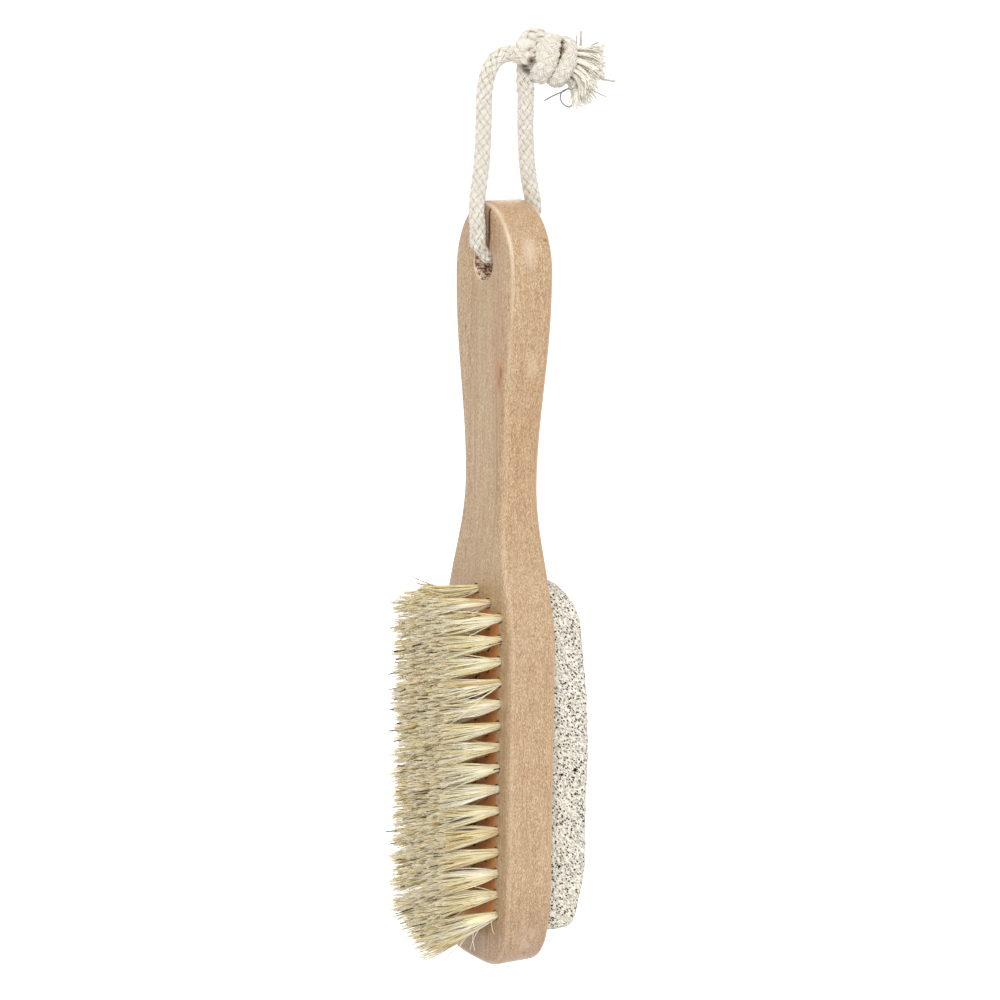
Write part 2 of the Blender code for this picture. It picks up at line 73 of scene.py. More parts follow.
TIP_LEVEL = HOLE_INSET - HOLE_DROP
ROPE_RADIUS = 2.5
GAP = 0.3
FACE_X = -HEAD_THICKNESS / 2


# ---- nodes
class Nodes:
    """A node tree built up one node at a time."""

    def __init__(self, owner):
        owner.use_nodes = True
        self.tree = owner.node_tree

    def put(self, socket, value):
        if isinstance(value, bpy.types.NodeSocket):
            self.tree.links.new(value, socket)
        else:
            socket.default_value = value

    def add(self, kind, inputs=(), **settings):
        node = self.tree.nodes.new("ShaderNode" + kind)
        for key, value in settings.items():
            setattr(node, key, value)
        for key, value in dict(inputs).items():
            self.put(node.inputs[key], value)
        return node

    def math(self, operation, value, *others):
        """The operation on one value, or on each further value in turn."""
        if not others:
            return self.add("Math", {0: value}, operation=operation).outputs[0]
        for other in others:
            value = self.add("Math", {0: value, 1: other}, operation=operation).outputs[0]
        return value

    def span(self, value, low, high, to_low=0.0, to_high=1.0, smooth=False):
        return self.add("MapRange", {"Value": value, "From Min": low, "From Max": high, "To Min": to_low,
                                     "To Max": to_high},
                        interpolation_type="SMOOTHSTEP" if smooth else "LINEAR").outputs[0]

    def seen_directly(self):
        """1 for camera, glossy and transmission rays, and 0 for all others."""
        rays = self.add("LightPath").outputs
        return self.math("MAXIMUM", rays["Is Camera Ray"], rays["Is Glossy Ray"], rays["Is Transmission Ray"])


def srgb(red, green, blue):
    return tuple((c / 255 / 12.92) if c <= 10 else ((c / 255 + 0.055) / 1.055) ** 2.4 for c in (red, green, blue))


class Shader(Nodes):
    """A material with its pattern in the object's own coordinates."""

    def __init__(self, name):
        self.material = bpy.data.materials.new(name)
        super().__init__(self.material)
        self.bsdf = self.tree.nodes["Principled BSDF"]
        self.coords = self.add("TexCoord").outputs["Object"]

    def attribute(self, name):
        return self.add("Attribute", attribute_name=name).outputs["Fac"]

    def vector(self, operation, *values):
        outputs = self.add("VectorMath", dict(enumerate(values)), operation=operation).outputs
        return outputs["Value" if operation == "LENGTH" else "Vector"]

    def scaled(self, scales, vector=None):
        vector = self.coords if vector is None else vector
        return self.add("Mapping", {"Vector": vector, "Scale": scales}).outputs[0]

    def noise(self, scales, detail=2.0, vector=None):
        return self.add("TexNoise", {"Vector": self.scaled(scales, vector), "Scale": 1.0,
                                     "Detail": detail}).outputs["Fac"]

    def mix(self, factor, first, second, blend="MIX"):
        """The second colour over the first. A colour is a socket, or linear red, green and blue."""
        node = self.add("Mix", data_type="RGBA", blend_type=blend)
        for socket, value in ((0, factor), (6, first), (7, second)):
            self.put(node.inputs[socket], (*value, 1.0) if isinstance(value, tuple) else value)
        return node.outputs[2]

    def times(self, base, factors):
        return self.mix(1.0, base, factors, "MULTIPLY")

    def stain(self, base, *layers):
        """The base with sRGB colours laid over it: each by a value, from low to high, up to a share."""
        for value, low, high, share, colour in layers:
            base = self.mix(self.span(value, low, high, 0.0, share), base, srgb(*colour))
        return base

    def ramp(self, value, *stops):
        node = self.add("ValToRGB", {"Fac": value})
        elements = node.color_ramp.elements
        while len(elements) < len(stops):
            elements.new(0.5)
        for element, (place, colour) in zip(elements, stops):
            element.position = place
            element.color = (*srgb(*colour), 1.0)
        return node.outputs[0]

    def spot(self, centre, size):
        """1 at a point and 0 beyond an ellipsoid about it, both in millimetres."""
        moved = self.vector("SUBTRACT", self.coords, [c * MM for c in centre])
        scaled = self.vector("MULTIPLY", moved, [1.0 / (s * MM) for s in size])
        return self.span(self.vector("LENGTH", scaled), 0.0, 1.0, 1.0, 0.0, smooth=True)

    def bump(self, height, distance, strength):
        return self.add("Bump", {"Height": height, "Distance": distance, "Strength": strength}).outputs[0]

    def done(self, **sockets):
        for key, value in sockets.items():
            self.put(self.bsdf.inputs[key.replace("_", " ")], value)
        return self.material


# ---- objects and meshes
def link(name, data):
    item = bpy.data.objects.new(name, data)
    bpy.context.scene.collection.objects.link(item)
    return item


def new_mesh(name, vertices, faces):
    """A smooth-shaded mesh from vertices in millimetres."""
    mesh = bpy.data.meshes.new(name)
    mesh.from_pydata((np.asarray(vertices) * MM).tolist(), [], faces)
    mesh.validate()
    mesh.shade_smooth()
    return mesh


def outward(mesh):
    """Turn all faces of a closed mesh outwards."""
    bm = bmesh.new()
    bm.from_mesh(mesh)
    bmesh.ops.recalc_face_normals(bm, faces=bm.faces)
    bm.to_mesh(mesh)
    bm.free()
    return mesh


def piece(name, mesh, material, body, slot, replaced=(), **attributes):
    """Put a mesh into the scene as a piece that rides on a body, with attributes at its vertices."""
    for key, values in attributes.items():
        values = np.full(len(mesh.vertices), values, np.float32)
        mesh.attributes.new(key, "FLOAT", "POINT").data.foreach_set("value", values)
    mesh.materials.append(material)
    item = link(name, mesh)
    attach(item, body)
    if replaced:
        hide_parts(*replaced)
    return item


def unit(vectors):
    return vectors / np.maximum(np.linalg.norm(vectors, axis=-1, keepdims=True), 1e-12)


def circle(sides):
    return 2 * math.pi * np.arange(sides) / sides


def around(normals, others, angles):
    """Directions at angles round a line, from its two normals."""
    return normals * np.cos(angles) + others * np.sin(angles)


def quarter(steps):
    return np.linspace(0, math.pi / 2, steps + 1)


def xyz(x, y, z):
    """Points from their coordinates, each a list or one number for all points."""
    return np.stack(np.broadcast_arrays(x, y, z), -1)


def carried_frames(paths):
    """Tangents and two normals along many paths at once, with no twist."""
    tangents = unit(np.gradient(paths, axis=1))
    helper = np.where(np.abs(tangents[:, :1, 2:3]) > 0.8, [[[1.0, 0.0, 0.0]]], [[[0.0, 0.0, 1.0]]])
    normals = np.empty_like(paths)
    normal = unit(np.cross(tangents[:, 0], helper[:, 0]))
    for step in range(paths.shape[1]):
        tangent = tangents[:, step]
        normal = unit(normal - tangent * (normal * tangent).sum(-1, keepdims=True))
        normals[:, step] = normal
    return tangents, normals, np.cross(tangents, normals)


def frames_along(line):
    return (vectors[0] for vectors in carried_frames(line[None]))


def ring_faces(grid):
    """Faces between neighbouring rings of vertex numbers."""
    after = np.roll(grid, -1, axis=-1)
    corners = (grid[..., :-1, :], after[..., :-1, :], after[..., 1:, :], grid[..., 1:, :])
    return np.stack(corners, -1).reshape(-1, 4).tolist()


def closed(rings, inside_out=False):
    """Vertices and faces of a skin over rings of points, with a face at each end."""
    grid = np.arange(len(rings) * len(rings[0])).reshape(len(rings), -1)
    faces = ring_faces(grid) + [grid[0, ::-1].tolist(), grid[-1].tolist()]
    if inside_out:
        faces = [[face[0], *face[:0:-1]] for face in faces]
    return np.concatenate(rings), faces


def tubes(paths, radii, sides):
    """Vertices and faces of closed tubes along paths of equally many points."""
    count, steps, _ = paths.shape
    _, normals, others = carried_frames(paths)
    rings = around(normals[:, :, None], others[:, :, None], circle(sides)[:, None])
    radii = np.broadcast_to(radii, (count, steps))[:, :, None, None]
    vertices = (paths[:, :, None] + radii * rings).reshape(-1, 3)
    grid = np.arange(count * steps * sides).reshape(count, steps, sides)
    return vertices, ring_faces(grid) + grid[:, 0, ::-1].tolist() + grid[:, -1].tolist()


def join(parts):
    """One set of vertices, faces and values at the vertices from several. One number may stand for all values."""
    starts = np.cumsum([0] + [len(part[0]) for part in parts]).tolist()
    faces = [[index + start for index in face] for part, start in zip(parts, starts) for face in part[1]]
    values = zip(*([np.broadcast_to(value, len(part[0])) for value in part[2:]] for part in parts))
    return np.concatenate([part[0] for part in parts]), faces, *map(np.concatenate, values)


def smooth_route(points, steps):
    """Points read from a smooth curve through the given ones."""
    route = np.asarray(points, float)
    padded = np.vstack([2 * route[0] - route[1], route, 2 * route[-1] - route[-2]])
    result = []
    for before, start, end, after in zip(padded, padded[1:], padded[2:], padded[3:]):
        for step in range(steps):
            t = step / steps
            result.append((2 * start + (end - before) * t + (2 * before - 5 * start + 4 * end - after) * t * t
                           + (3 * start - before - 3 * end + after) * t ** 3) / 2)
    result.append(route[-1])
    return np.array(result)


def lengths_along(points):
    return np.concatenate([[0.0], np.cumsum(np.linalg.norm(np.diff(points, axis=0), axis=1))])


def read_at(places, known, points):
    """Points at places along a line, whose own points lie at the known places."""
    return np.stack([np.interp(places, known, values) for values in points.T], 1)


def evenly(line, count):
    """The same line with as many points, evenly spaced."""
    lengths = lengths_along(line)
    return read_at(np.linspace(0.0, lengths[-1], count), lengths, line)


def resample(line, spacing):
    return evenly(line, max(4, round(lengths_along(line)[-1] / spacing) + 1))


def ease(value):
    value = np.clip(value, 0.0, 1.0)
    return value * value * (3.0 - 2.0 * value)


# ---- camera
# Fitted to the outline of the wood in the photograph, which shows the wood's middle at MIDDLE_SEEN_AT
AZIMUTH, ELEVATION, ROLL = (math.radians(angle) for angle in (31.37, 12.23, 0.86))
CAMERA_DISTANCE = 1000.0
PIXELS_PER_MM = 3.43
IMAGE_SIZE = 1000.0
MIDDLE_SEEN_AT = (499.41, 585.14)
SENSOR_WIDTH = 36.0


def add_camera():
    ca, sa, ce, se = math.cos(AZIMUTH), math.sin(AZIMUTH), math.cos(ELEVATION), math.sin(ELEVATION)
    back = Vector((-sa * ce, -ca * ce, se))
    level, steep = Vector((ca, -sa, 0.0)), Vector((sa * se, ca * se, ce))
    right = level * math.cos(ROLL) + steep * math.sin(ROLL)
    up = steep * math.cos(ROLL) - level * math.sin(ROLL)
    focal = PIXELS_PER_MM * CAMERA_DISTANCE
    aside, below = (place - IMAGE_SIZE / 2 for place in MIDDLE_SEEN_AT)
    ahead = (up * below - right * aside - back * focal).normalized()
    up = (up - ahead * up.dot(ahead)).normalized()
    data = bpy.data.cameras.new("camera")
    data.sensor_width = SENSOR_WIDTH
    data.sensor_fit = "HORIZONTAL"
    data.lens = SENSOR_WIDTH * focal / IMAGE_SIZE
    data.clip_start = 0.05
    data.clip_end = 60.0
    camera = link("camera", data)
    place = Vector((0.0, 0.0, TIP_LEVEL - LENGTH / 2)) + back * CAMERA_DISTANCE
    turned = Matrix((ahead.cross(up), up, -ahead)).transposed().to_4x4()
    camera.matrix_world = Matrix.Translation(place * MM) @ turned
    bpy.context.scene.camera = camera


# ---- wood
OUTLINE_STEP = 1.5
END_STEPS = 26
EDGE_STEPS = 9
SHARP_ANGLE = math.radians(38)
HOLE_SIDES = 64
# How rough the hole's wall is, how far in from the broad sides it starts, and the number of its rings
WALL_ROUGHNESS, WALL_INSET, WALL_RINGS = 0.22, 1.4, 22
TUFT_HOLE_SIDES = 14
TUFT_HOLE_RADIUS = 1.62
TUFT_HOLE_DEPTH = 4.0
# How far the cutters stand out of the wood
HOLE_MARGIN, TUFT_HOLE_MARGIN = 0.4, 1.0


def body_outline():
    """Half width and distance down from the handle's tip, all round the wood."""
    turn = quarter(END_STEPS)[:-1]
    parts = [(HANDLE_HALF_WIDTH * np.sin(turn), HANDLE_END_DEPTH * (1 - np.cos(turn)))]
    for start, end, first, last, lean in (
            (HANDLE_END_DEPTH, WAIST_POSITION, HANDLE_HALF_WIDTH, WAIST_HALF_WIDTH, 1.0),
            (WAIST_POSITION, SHOULDER, WAIST_HALF_WIDTH, HEAD_HALF_WIDTH, SHOULDER_LEAN),
            (SHOULDER, HEAD_END, HEAD_HALF_WIDTH, HEAD_HALF_WIDTH, 1.0)):
        share = np.linspace(0, 1, round((end - start) / OUTLINE_STEP), endpoint=False)
        parts.append((first + (last - first) * ease(share ** lean), start + (end - start) * share))
    power = 2.0 / HEAD_END_SQUARENESS
    parts += [(HEAD_HALF_WIDTH * np.cos(turn) ** power, HEAD_END + HEAD_END_DEPTH * np.sin(turn) ** power),
              ([0.0], [LENGTH])]
    side = np.concatenate(parts, axis=1).T
    return np.concatenate([side, side[-2:0:-1] * [-1, 1]])


def body_shape(down):
    """Half thickness and edge radius at a distance down from the handle's tip."""
    grip = ease((down - HANDLE_FLAT) / (WAIST_POSITION - HANDLE_FLAT))
    neck = ease((down - WAIST_POSITION) / (FIELD_TOP - WAIST_POSITION))
    thickness = HANDLE_THICKNESS + (WAIST_THICKNESS - HANDLE_THICKNESS) * grip
    thickness += (HEAD_THICKNESS - WAIST_THICKNESS) * neck
    return thickness / 2, EDGE_ROUND + (GRIP_EDGE_ROUND - EDGE_ROUND) * (grip - neck)


def wood_blank():
    """The wood without its holes: its outline on both broad sides, with rounded edges."""
    loop = body_outline()
    along = unit(np.roll(loop, -1, axis=0) - np.roll(loop, 1, axis=0))
    inward = np.stack([-along[:, 1], along[:, 0]], 1)
    half_thick, radius = body_shape(loop[:, 1])
    rings = []
    for face, turn in ((-1, quarter(EDGE_STEPS)[::-1]), (1, quarter(EDGE_STEPS))):
        for angle in turn:
            side, down = (loop + inward * (radius * (1 - math.cos(angle)))[:, None]).T
            rings.append(xyz(face * (half_thick - radius * (1 - math.sin(angle))), -side, TIP_LEVEL - down))
    count = len(loop)
    grid = np.arange(len(rings) * count).reshape(len(rings), count)
    faces = ring_faces(grid)
    tip = count // 2
    for edge in (grid[0].tolist(), grid[-1].tolist()):
        faces += [(edge[0], edge[1], edge[-1]), (edge[tip - 1], edge[tip], edge[tip + 1])]
        faces += [(edge[i], edge[i + 1], edge[count - i - 1], edge[count - i]) for i in range(1, tip - 1)]
    return outward(new_mesh("wood_blank", np.concatenate(rings), faces))


def hole_cutter():
    """Drilled rope hole with rounded rims and a torn, rough wall."""
    half = HANDLE_THICKNESS / 2
    out, narrow = (HOLE_RIM_ROUND * (1 - wave(quarter(6))) for wave in (np.cos, np.sin))
    rim = [(-half - HOLE_MARGIN, HOLE_RADIUS + HOLE_RIM_ROUND), *zip(out - half, HOLE_RADIUS + narrow)]
    inner = [(x, HOLE_RADIUS) for x in np.linspace(WALL_INSET - half, half - WALL_INSET, WALL_RINGS)]
    random = np.random.default_rng(11)
    turn = circle(HOLE_SIDES) + math.pi / HOLE_SIDES
    rings = []
    for x, radius in rim + inner + [(-x, radius) for x, radius in reversed(rim)]:
        rough = WALL_ROUGHNESS if abs(x) < half - HOLE_RIM_ROUND - 0.2 else 0.0
        size = radius - random.uniform(0.0, 1.0, HOLE_SIDES) * rough
        rings.append(xyz(x, size * np.cos(turn), size * np.sin(turn) - HOLE_DROP))
    return outward(new_mesh("hole", *closed(rings)))


def tufts(row):
    """Column, y and z of each tuft of a row."""
    for column in (0, -1, 1, -2, 2):
        if row + abs(column) < ROWS:
            down = FIRST_TUFT + row * ROW_PITCH + abs(column) * ROW_PITCH / 2
            yield column, -column * COLUMN_PITCH, TIP_LEVEL - down


def tuft_hole_cutter():
    side, up = (TUFT_HOLE_RADIUS * wave(circle(TUFT_HOLE_SIDES)) for wave in (np.cos, np.sin))
    ends = (FACE_X - TUFT_HOLE_MARGIN, FACE_X + TUFT_HOLE_DEPTH)
    holes = [closed([xyz(x, y + side, z + up) for x in ends]) for row in range(ROWS) for _, y, z in tufts(row)]
    return outward(new_mesh("tuft_holes", *join(holes)))


def wood_mesh():
    item = link("wood_blank", wood_blank())
    cutters = [link(mesh.name, mesh) for mesh in (hole_cutter(), tuft_hole_cutter())]
    for cutter in cutters:
        modifier = item.modifiers.new("cut", "BOOLEAN")
        modifier.operation = "DIFFERENCE"
        modifier.solver = "EXACT"
        modifier.object = cutter
    result = bpy.data.meshes.new_from_object(item.evaluated_get(bpy.context.evaluated_depsgraph_get()))
    for used in (item, *cutters):
        bpy.data.objects.remove(used, do_unlink=True)
    result.set_sharp_from_angle(angle=SHARP_ANGLE)
    return result


# Marks on the wood: centre, size, how near to the centre each starts and is full, its share and its colour
WOOD_MARKS = (
    # two dark grains in the orange fleck, a thin line below it and a second one beside them
    ((-7.1, -10.6, -86.8), (3.0, 0.9, 2.6), 0.0, 0.6, 1.0, (138, 90, 44)),
    ((-7.1, -9.6, -89.6), (3.0, 0.7, 2.4), 0.0, 0.6, 1.0, (160, 100, 54)),
    ((-7.1, -8.3, -112.0), (3.0, 0.7, 36.0), 0.0, 1.0, 0.5, (164, 112, 84)),
    ((-7.0, 4.0, -95.0), (3.0, 0.5, 60.0), 0.0, 1.0, 0.4, (168, 122, 88)),
    # two small dark marks and a darker grip
    ((-7.3, 9.0, -76.0), (2.0, 0.45, 1.6), 0.0, 1.0, 1.0, (110, 66, 42)),
    ((5.0, -14.6, -49.0), (1.2, 1.5, 0.9), 0.0, 1.0, 1.0, (96, 60, 40)),
    ((-7.3, -8.5, -78.0), (3.0, 4.5, 48.0), 0.0, 1.0, 0.5, (196, 150, 122)),
    # a thin painted shadow line on the wood beside the rope, where the rope lies against it
    ((-7.3, -3.55, -45.6), (1.2, 0.9, 9.5), 0.1, 0.45, 1.0, (112, 48, 22)),
    # paler places on the narrow side: painted highlights where the light glosses it
    ((-1.0, -15.5, -50.8), (3.5, 4.0, 9.0), 0.0, 1.0, 0.65, (240, 218, 190)),
    ((-5.8, -15.0, -41.0), (2.5, 3.0, 2.5), 0.0, 1.0, 0.6, (240, 218, 190)),
    ((1.0, -14.0, -85.0), (3.0, 4.0, 6.0), 0.0, 1.0, 0.5, (240, 218, 190)),
)


def wood_material():
    s = Shader("beech")
    x, y, z = s.add("SeparateXYZ", {0: s.coords}).outputs
    turned = s.add("SeparateXYZ", {0: s.add("NewGeometry").outputs["Normal"]}).outputs[0]
    facing = s.math("ABSOLUTE", turned)
    broad_side = s.span(facing, 0.55, 0.95, smooth=True)
    wander = s.noise((60, 60, 14))
    drift = s.add("CombineXYZ", {"X": s.span(wander, 0, 1, -0.003, 0.003),
                                 "Y": s.span(wander, 0, 1, -0.004, 0.004)}).outputs[0]
    bent = s.vector("ADD", s.coords, drift)

    def grain(across, along, detail=2.0):
        return s.noise((across, across, along), detail, bent)

    lines, fine = grain(1100, 14, 3.0), grain(5200, 1500, 1.0)
    grit, fibre = grain(4200, 1500), grain(2600, 160)
    base = s.mix(broad_side, srgb(207, 175, 135), srgb(210, 179, 145))
    base = s.stain(
        base,
        (grain(260, 7, 3.0), 0.3, 0.7, 0.55, (196, 158, 119)),
        (lines, 0.42, 0.68, 0.7, (184, 143, 104)),
        (grain(700, 30), 0.55, 0.75, 0.5, (226, 199, 163)),
        (fine, 0.52, 0.7, 0.75, (166, 122, 82)),
        (grit, 0.50, 0.66, 0.75, (244, 218, 182)),
        (grit, 0.48, 0.32, 0.7, (160, 118, 82)),
        (fibre, 0.50, 0.68, 0.3, (232, 204, 166)),
        (fibre, 0.48, 0.32, 0.3, (166, 124, 88)))
    # An orange fleck at the grip, and the other marks
    fleck = s.math("MULTIPLY", s.spot((-7.1, -9.7, -87.6), (3.0, 2.4, 7.0)), s.span(lines, 0.3, 0.6, 0.6, 1.0))
    base = s.stain(base, (fleck, 0.0, 0.6, 1.0, (206, 140, 86)))
    base = s.stain(base, *((s.spot(centre, size), *rest) for centre, size, *rest in WOOD_MARKS))
    # The rounded edge towards the pumice is a little more orange
    rounded = s.math("MULTIPLY", s.span(turned, 0.15, 0.5, smooth=True), s.span(turned, 0.97, 0.85))
    base = s.stain(base, (rounded, 0.0, 1.0, 0.55, (214, 160, 104)))
    # A painted highlight along the rounded edges of the handle, where the light glints on the ridge: they are
    # paler
    ridge_highlight = s.math("MULTIPLY", s.span(facing, 0.42, 0.62, smooth=True), s.span(facing, 0.9, 0.75, smooth=True),
                  s.span(s.noise((90, 90, 40)), 0.35, 0.6, 0.3, 0.8), s.span(z, -0.078, -0.060, 0.3, 0.8))
    base = s.mix(ridge_highlight, base, srgb(246, 226, 198))
    # Wall of the rope hole: brown, torn fibres
    off_axis = s.vector("LENGTH", s.vector("MULTIPLY_ADD", s.coords, (0.0, 1.0, 1.0), (0.0, 0.0, HOLE_DROP * MM)))
    wall = s.ramp(s.noise((1500, 1700, 1700), 3.0), (0.36, (104, 58, 38)), (0.46, (176, 126, 98)),
                  (0.56, (250, 232, 214)))
    base = s.mix(s.span(off_axis, 5.25 * MM, 5.02 * MM, smooth=True), base, wall)
    # Painted shade by side: the broad sides are tinted darker than the narrow sides, as less light falls on them
    base = s.times(base, s.mix(broad_side, (0.832, 0.834, 0.822), (0.740, 0.750, 0.728)))
    # Yellower along the grip's near narrow side
    base = s.mix(s.spot((1.0, -13.0, -106.0), (10.0, 8.0, 56.0)), base, s.times(base, (0.93, 0.885, 0.82)))
    # Rubbed paler where the near narrow side turns into the end
    rubbed = s.math("MULTIPLY", s.spot((-1.0, -17.0, -253.0), (7.0, 5.0, 8.0)),
                    s.span(grain(600, 260, 3.0), 0.4, 0.6, 0.1, 1.0))
    base = s.mix(rubbed, base, srgb(222, 198, 170))
    # The bottom end is a little darker: painted shade where it faces down, away from the lamps
    base = s.mix(s.span(z, -0.236, -0.256), base, s.times(base, (0.82, 0.775, 0.775)))
    # Painted shade between the tufts: the wood there is more orange, standing for the shade and the warm light
    # the hairs throw back. The field's ends are V-shaped, as its rows are
    beside = s.math("ABSOLUTE", y)
    slant = s.math("MULTIPLY", beside, ROW_PITCH / 2 / COLUMN_PITCH)
    outside = s.math("MAXIMUM", s.span(beside, 11.6 * MM, 13.4 * MM),
                     s.span(s.math("ADD", z, slant), -0.1545, -0.1520),
                     s.span(s.math("SUBTRACT", z, slant), -0.2545, -0.2525, 1.0, 0.0))
    between = s.math("MULTIPLY", s.math("SUBTRACT", 1.0, outside), s.span(x, -7.0 * MM, -7.6 * MM))
    base = s.stain(base, (between, 0.0, 1.0, 0.85, (226, 150, 86)))
    relief = s.math("MULTIPLY", s.math("ADD", fine, lines), 0.5)
    return s.done(Base_Color=base, Roughness=s.span(lines, 0.3, 0.7, 0.34, 0.48), Specular_IOR_Level=0.5,
                  Normal=s.bump(relief, 0.00012, 0.35))


# ---- bristles
CLUMPS = 22
HAIRS_IN_CLUMP = 6
HAIR_STEPS = 6
HAIR_SIDES = 3
GOLDEN_ANGLE = 2.399963
ROOT_REACH = 0.95
# How far a tuft opens across and along the head, at its tips
TIP_REACH = (2.75, 3.3)
# The last rows lean outwards, and the lower hairs of the very last ones sag
END_LEAN = math.radians(10.0)
LEANING_ROWS = 3.5
SAGGING_ROWS = 1.5
# How deep the field's shade goes in from its edge
SHADE_DEPTH = 3.0
# Shares of hairs that stand away from their clump, far and very far, and of dark ones
WILD, WILDEST, DARK = 0.14, 0.055, 0.012
# The close-packed middle of each tuft, its heart, as a share of its width and length
HEART_WIDTH, HEART_LENGTH = 0.84, 0.84
HEART_SIDES, HEART_STEPS = 26, 9
# Single hairs by row: radius, tone, sides of the brush, and their routes. Two stand away from the top row, and
# light ones hang loose below the lowest outer tufts
SINGLE_HAIRS = {
    0: (0.085, 1.0, (1,), (
        ((-10.0, 0.0, -151.0), (-17.5, 0.0, -150.4), (-23.0, 0.0, -148.9), (-29.6, 0.0, -145.6)),
        ((-10.0, 0.4, -151.2), (-18.0, 0.3, -150.7), (-24.5, 0.3, -149.0), (-29.8, 0.5, -147.1)))),
    14: (0.1, 0.15, (-1, 1), (
        ((-9.5, 14.0, -246.7), (-9.9, 14.7, -248.7), (-9.7, 15.1, -250.4), (-9.2, 15.3, -251.6)),
        ((-12.5, 13.6, -248.1), (-14.6, 14.2, -250.5), (-16.1, 14.4, -252.8), (-16.9, 14.3, -255.4)),
        ((-15.5, 14.0, -249.7), (-16.2, 14.7, -251.9), (-16.2, 15.2, -253.9), (-15.8, 15.5, -255.6)),
        ((-16.8, 13.8, -250.5), (-19.8, 14.3, -253.1), (-22.3, 14.4, -255.8), (-24.4, 14.2, -258.8)),
        ((-19.5, 14.4, -252.1), (-21.3, 14.9, -254.8), (-22.5, 15.2, -257.4), (-22.9, 15.4, -259.8)))),
}


def sunflower(count, phase):
    """Evenly spread places in a circle: distance from its middle, and the two coordinates."""
    index = np.arange(count) + 0.5
    turn = index * GOLDEN_ANGLE + phase
    share = np.sqrt(index / count)
    return share, np.cos(turn) * share, np.sin(turn) * share


def rows_around(row, column):
    """Rows above and below a tuft, and how steeply it leans."""
    above = row + abs(column) * 0.5
    below = ROWS - 1 - above
    return above, below, math.tan(END_LEAN * max(0.0, 1 - below / LEANING_ROWS) ** 1.5)


def row_hairs(row):
    """All hairs of one row's tufts, each with its tone, the share of its length and its shade."""
    random = np.random.default_rng(1000 + row)
    steps = np.linspace(0, 1, HAIR_STEPS)
    grow = np.stack([steps, steps ** 1.04, steps ** 1.04], 1)
    arch = (4 * steps * (1 - steps))[:, None]
    count = CLUMPS * HAIRS_IN_CLUMP
    paths, radii, tones, inside = [], [], [], []

    def each(values):
        return values.repeat(HAIRS_IN_CLUMP, axis=0)

    for column, y, z in tufts(row):
        share, side, up = (each(value) for value in sunflower(CLUMPS, random.uniform(0, ANY_TURN)))
        above, below, lean = rows_around(row, column)
        sag = max(0.0, 1 - below / SAGGING_ROWS) * (up < 0)
        out = each(random.normal(0, 1.0, (CLUMPS, 2))) * 0.3
        own = random.normal(0, 1.0, (count, 2)) * 0.2
        chance = random.uniform(0, 1, count)
        wild = chance < WILD
        own[wild] *= 5.5
        own[chance < WILDEST] *= 2.0
        dark = random.uniform(0, 1, count)
        stained = (dark < DARK) & ~wild
        own[stained] *= 2.5
        root = np.stack([side, up], 1) * ROOT_REACH + random.normal(0, 0.12, (count, 2))
        tip = np.stack([side * TIP_REACH[0], up * TIP_REACH[1] * (1 + sag)], 1) + out + own
        length = BRISTLE_LENGTH - 1.2 + each(random.normal(0, 0.5, CLUMPS))
        length += np.minimum(random.normal(0, 0.7, count), 0.9) - 0.4 * share ** 2
        length[wild] += random.uniform(-2.5, 1.4, wild.sum())
        length -= 2.2 * sag * np.abs(up)
        thick = random.uniform(0.13, 0.2, count)
        tone = each(random.normal(0.38, 0.27, CLUMPS)) + random.normal(0, 0.18, count)
        tone = np.clip(tone, 0.0, 0.8)
        tone[stained] = np.where(dark[stained] < 0.75 * DARK, 1.0, 0.92)
        thick[stained] = random.uniform(0.22, 0.3, stained.sum())
        length[stained] += random.uniform(0.2, 1.8, stained.sum())
        start = xyz(FACE_X, y + root[:, 0], z + root[:, 1])
        end = xyz(FACE_X - length, y + tip[:, 0], z + tip[:, 1] - lean * length)
        bow = each(random.normal(0, 0.28, (CLUMPS, 2))) + random.normal(0, 0.16, (count, 2))
        bow[wild] *= 2.2
        bow[:, 1] += 1.6 * sag * np.minimum(up, 0)
        curl = random.normal(0, 0.24, (count, 2))
        wave = np.sin(random.uniform(0, ANY_TURN, count)[:, None] + 7.0 * steps) * steps
        path = start[:, None] + (end - start)[:, None] * grow
        path[:, :, 1:] += bow[:, None] * arch + curl[:, None] * wave[:, :, None]
        paths.append(np.concatenate([start[:, None] + [2.4, 0, 0], path], 1))
        taper = np.where(stained, 0.3, 0.6)[:, None] * np.concatenate([[0.0], steps]) ** 3
        radii.append(thick[:, None] * (1 - taper))
        tones.append(tone)
        # How far inside the field each hair stands: it is darker there towards its root
        ends = ((far * ROW_PITCH + 1.3 * (1 + way * up)) / 2 for far, way in ((above, -1), (below, 1)))
        beside = 2 * COLUMN_PITCH + 1.0 - np.abs(y + root[:, 0])
        inside.append(ease(np.minimum(np.minimum(*ends), beside) / SHADE_DEPTH))
    radius, tone, sides, routes = SINGLE_HAIRS.get(row, (0.0, 0.0, (), ()))
    for points in routes:
        for side in sides:
            paths.append(smooth_route(points, 2)[None] * [1, side, 1])
            radii.append(np.full((1, HAIR_STEPS + 1), radius))
            tones.append([tone])
            inside.append([0.0])
    paths, radii, tones, inside = (np.concatenate(values) for values in (paths, radii, tones, inside))
    along = np.concatenate([[0.0], steps])
    values = (np.repeat(np.broadcast_to(value, radii.shape), HAIR_SIDES, axis=1).reshape(-1)
              for value in (tones[:, None], along, inside[:, None] * (1 - along) ** 0.8))
    return join([(*tubes(paths, radii, HAIR_SIDES), *values), *row_hearts(row)])


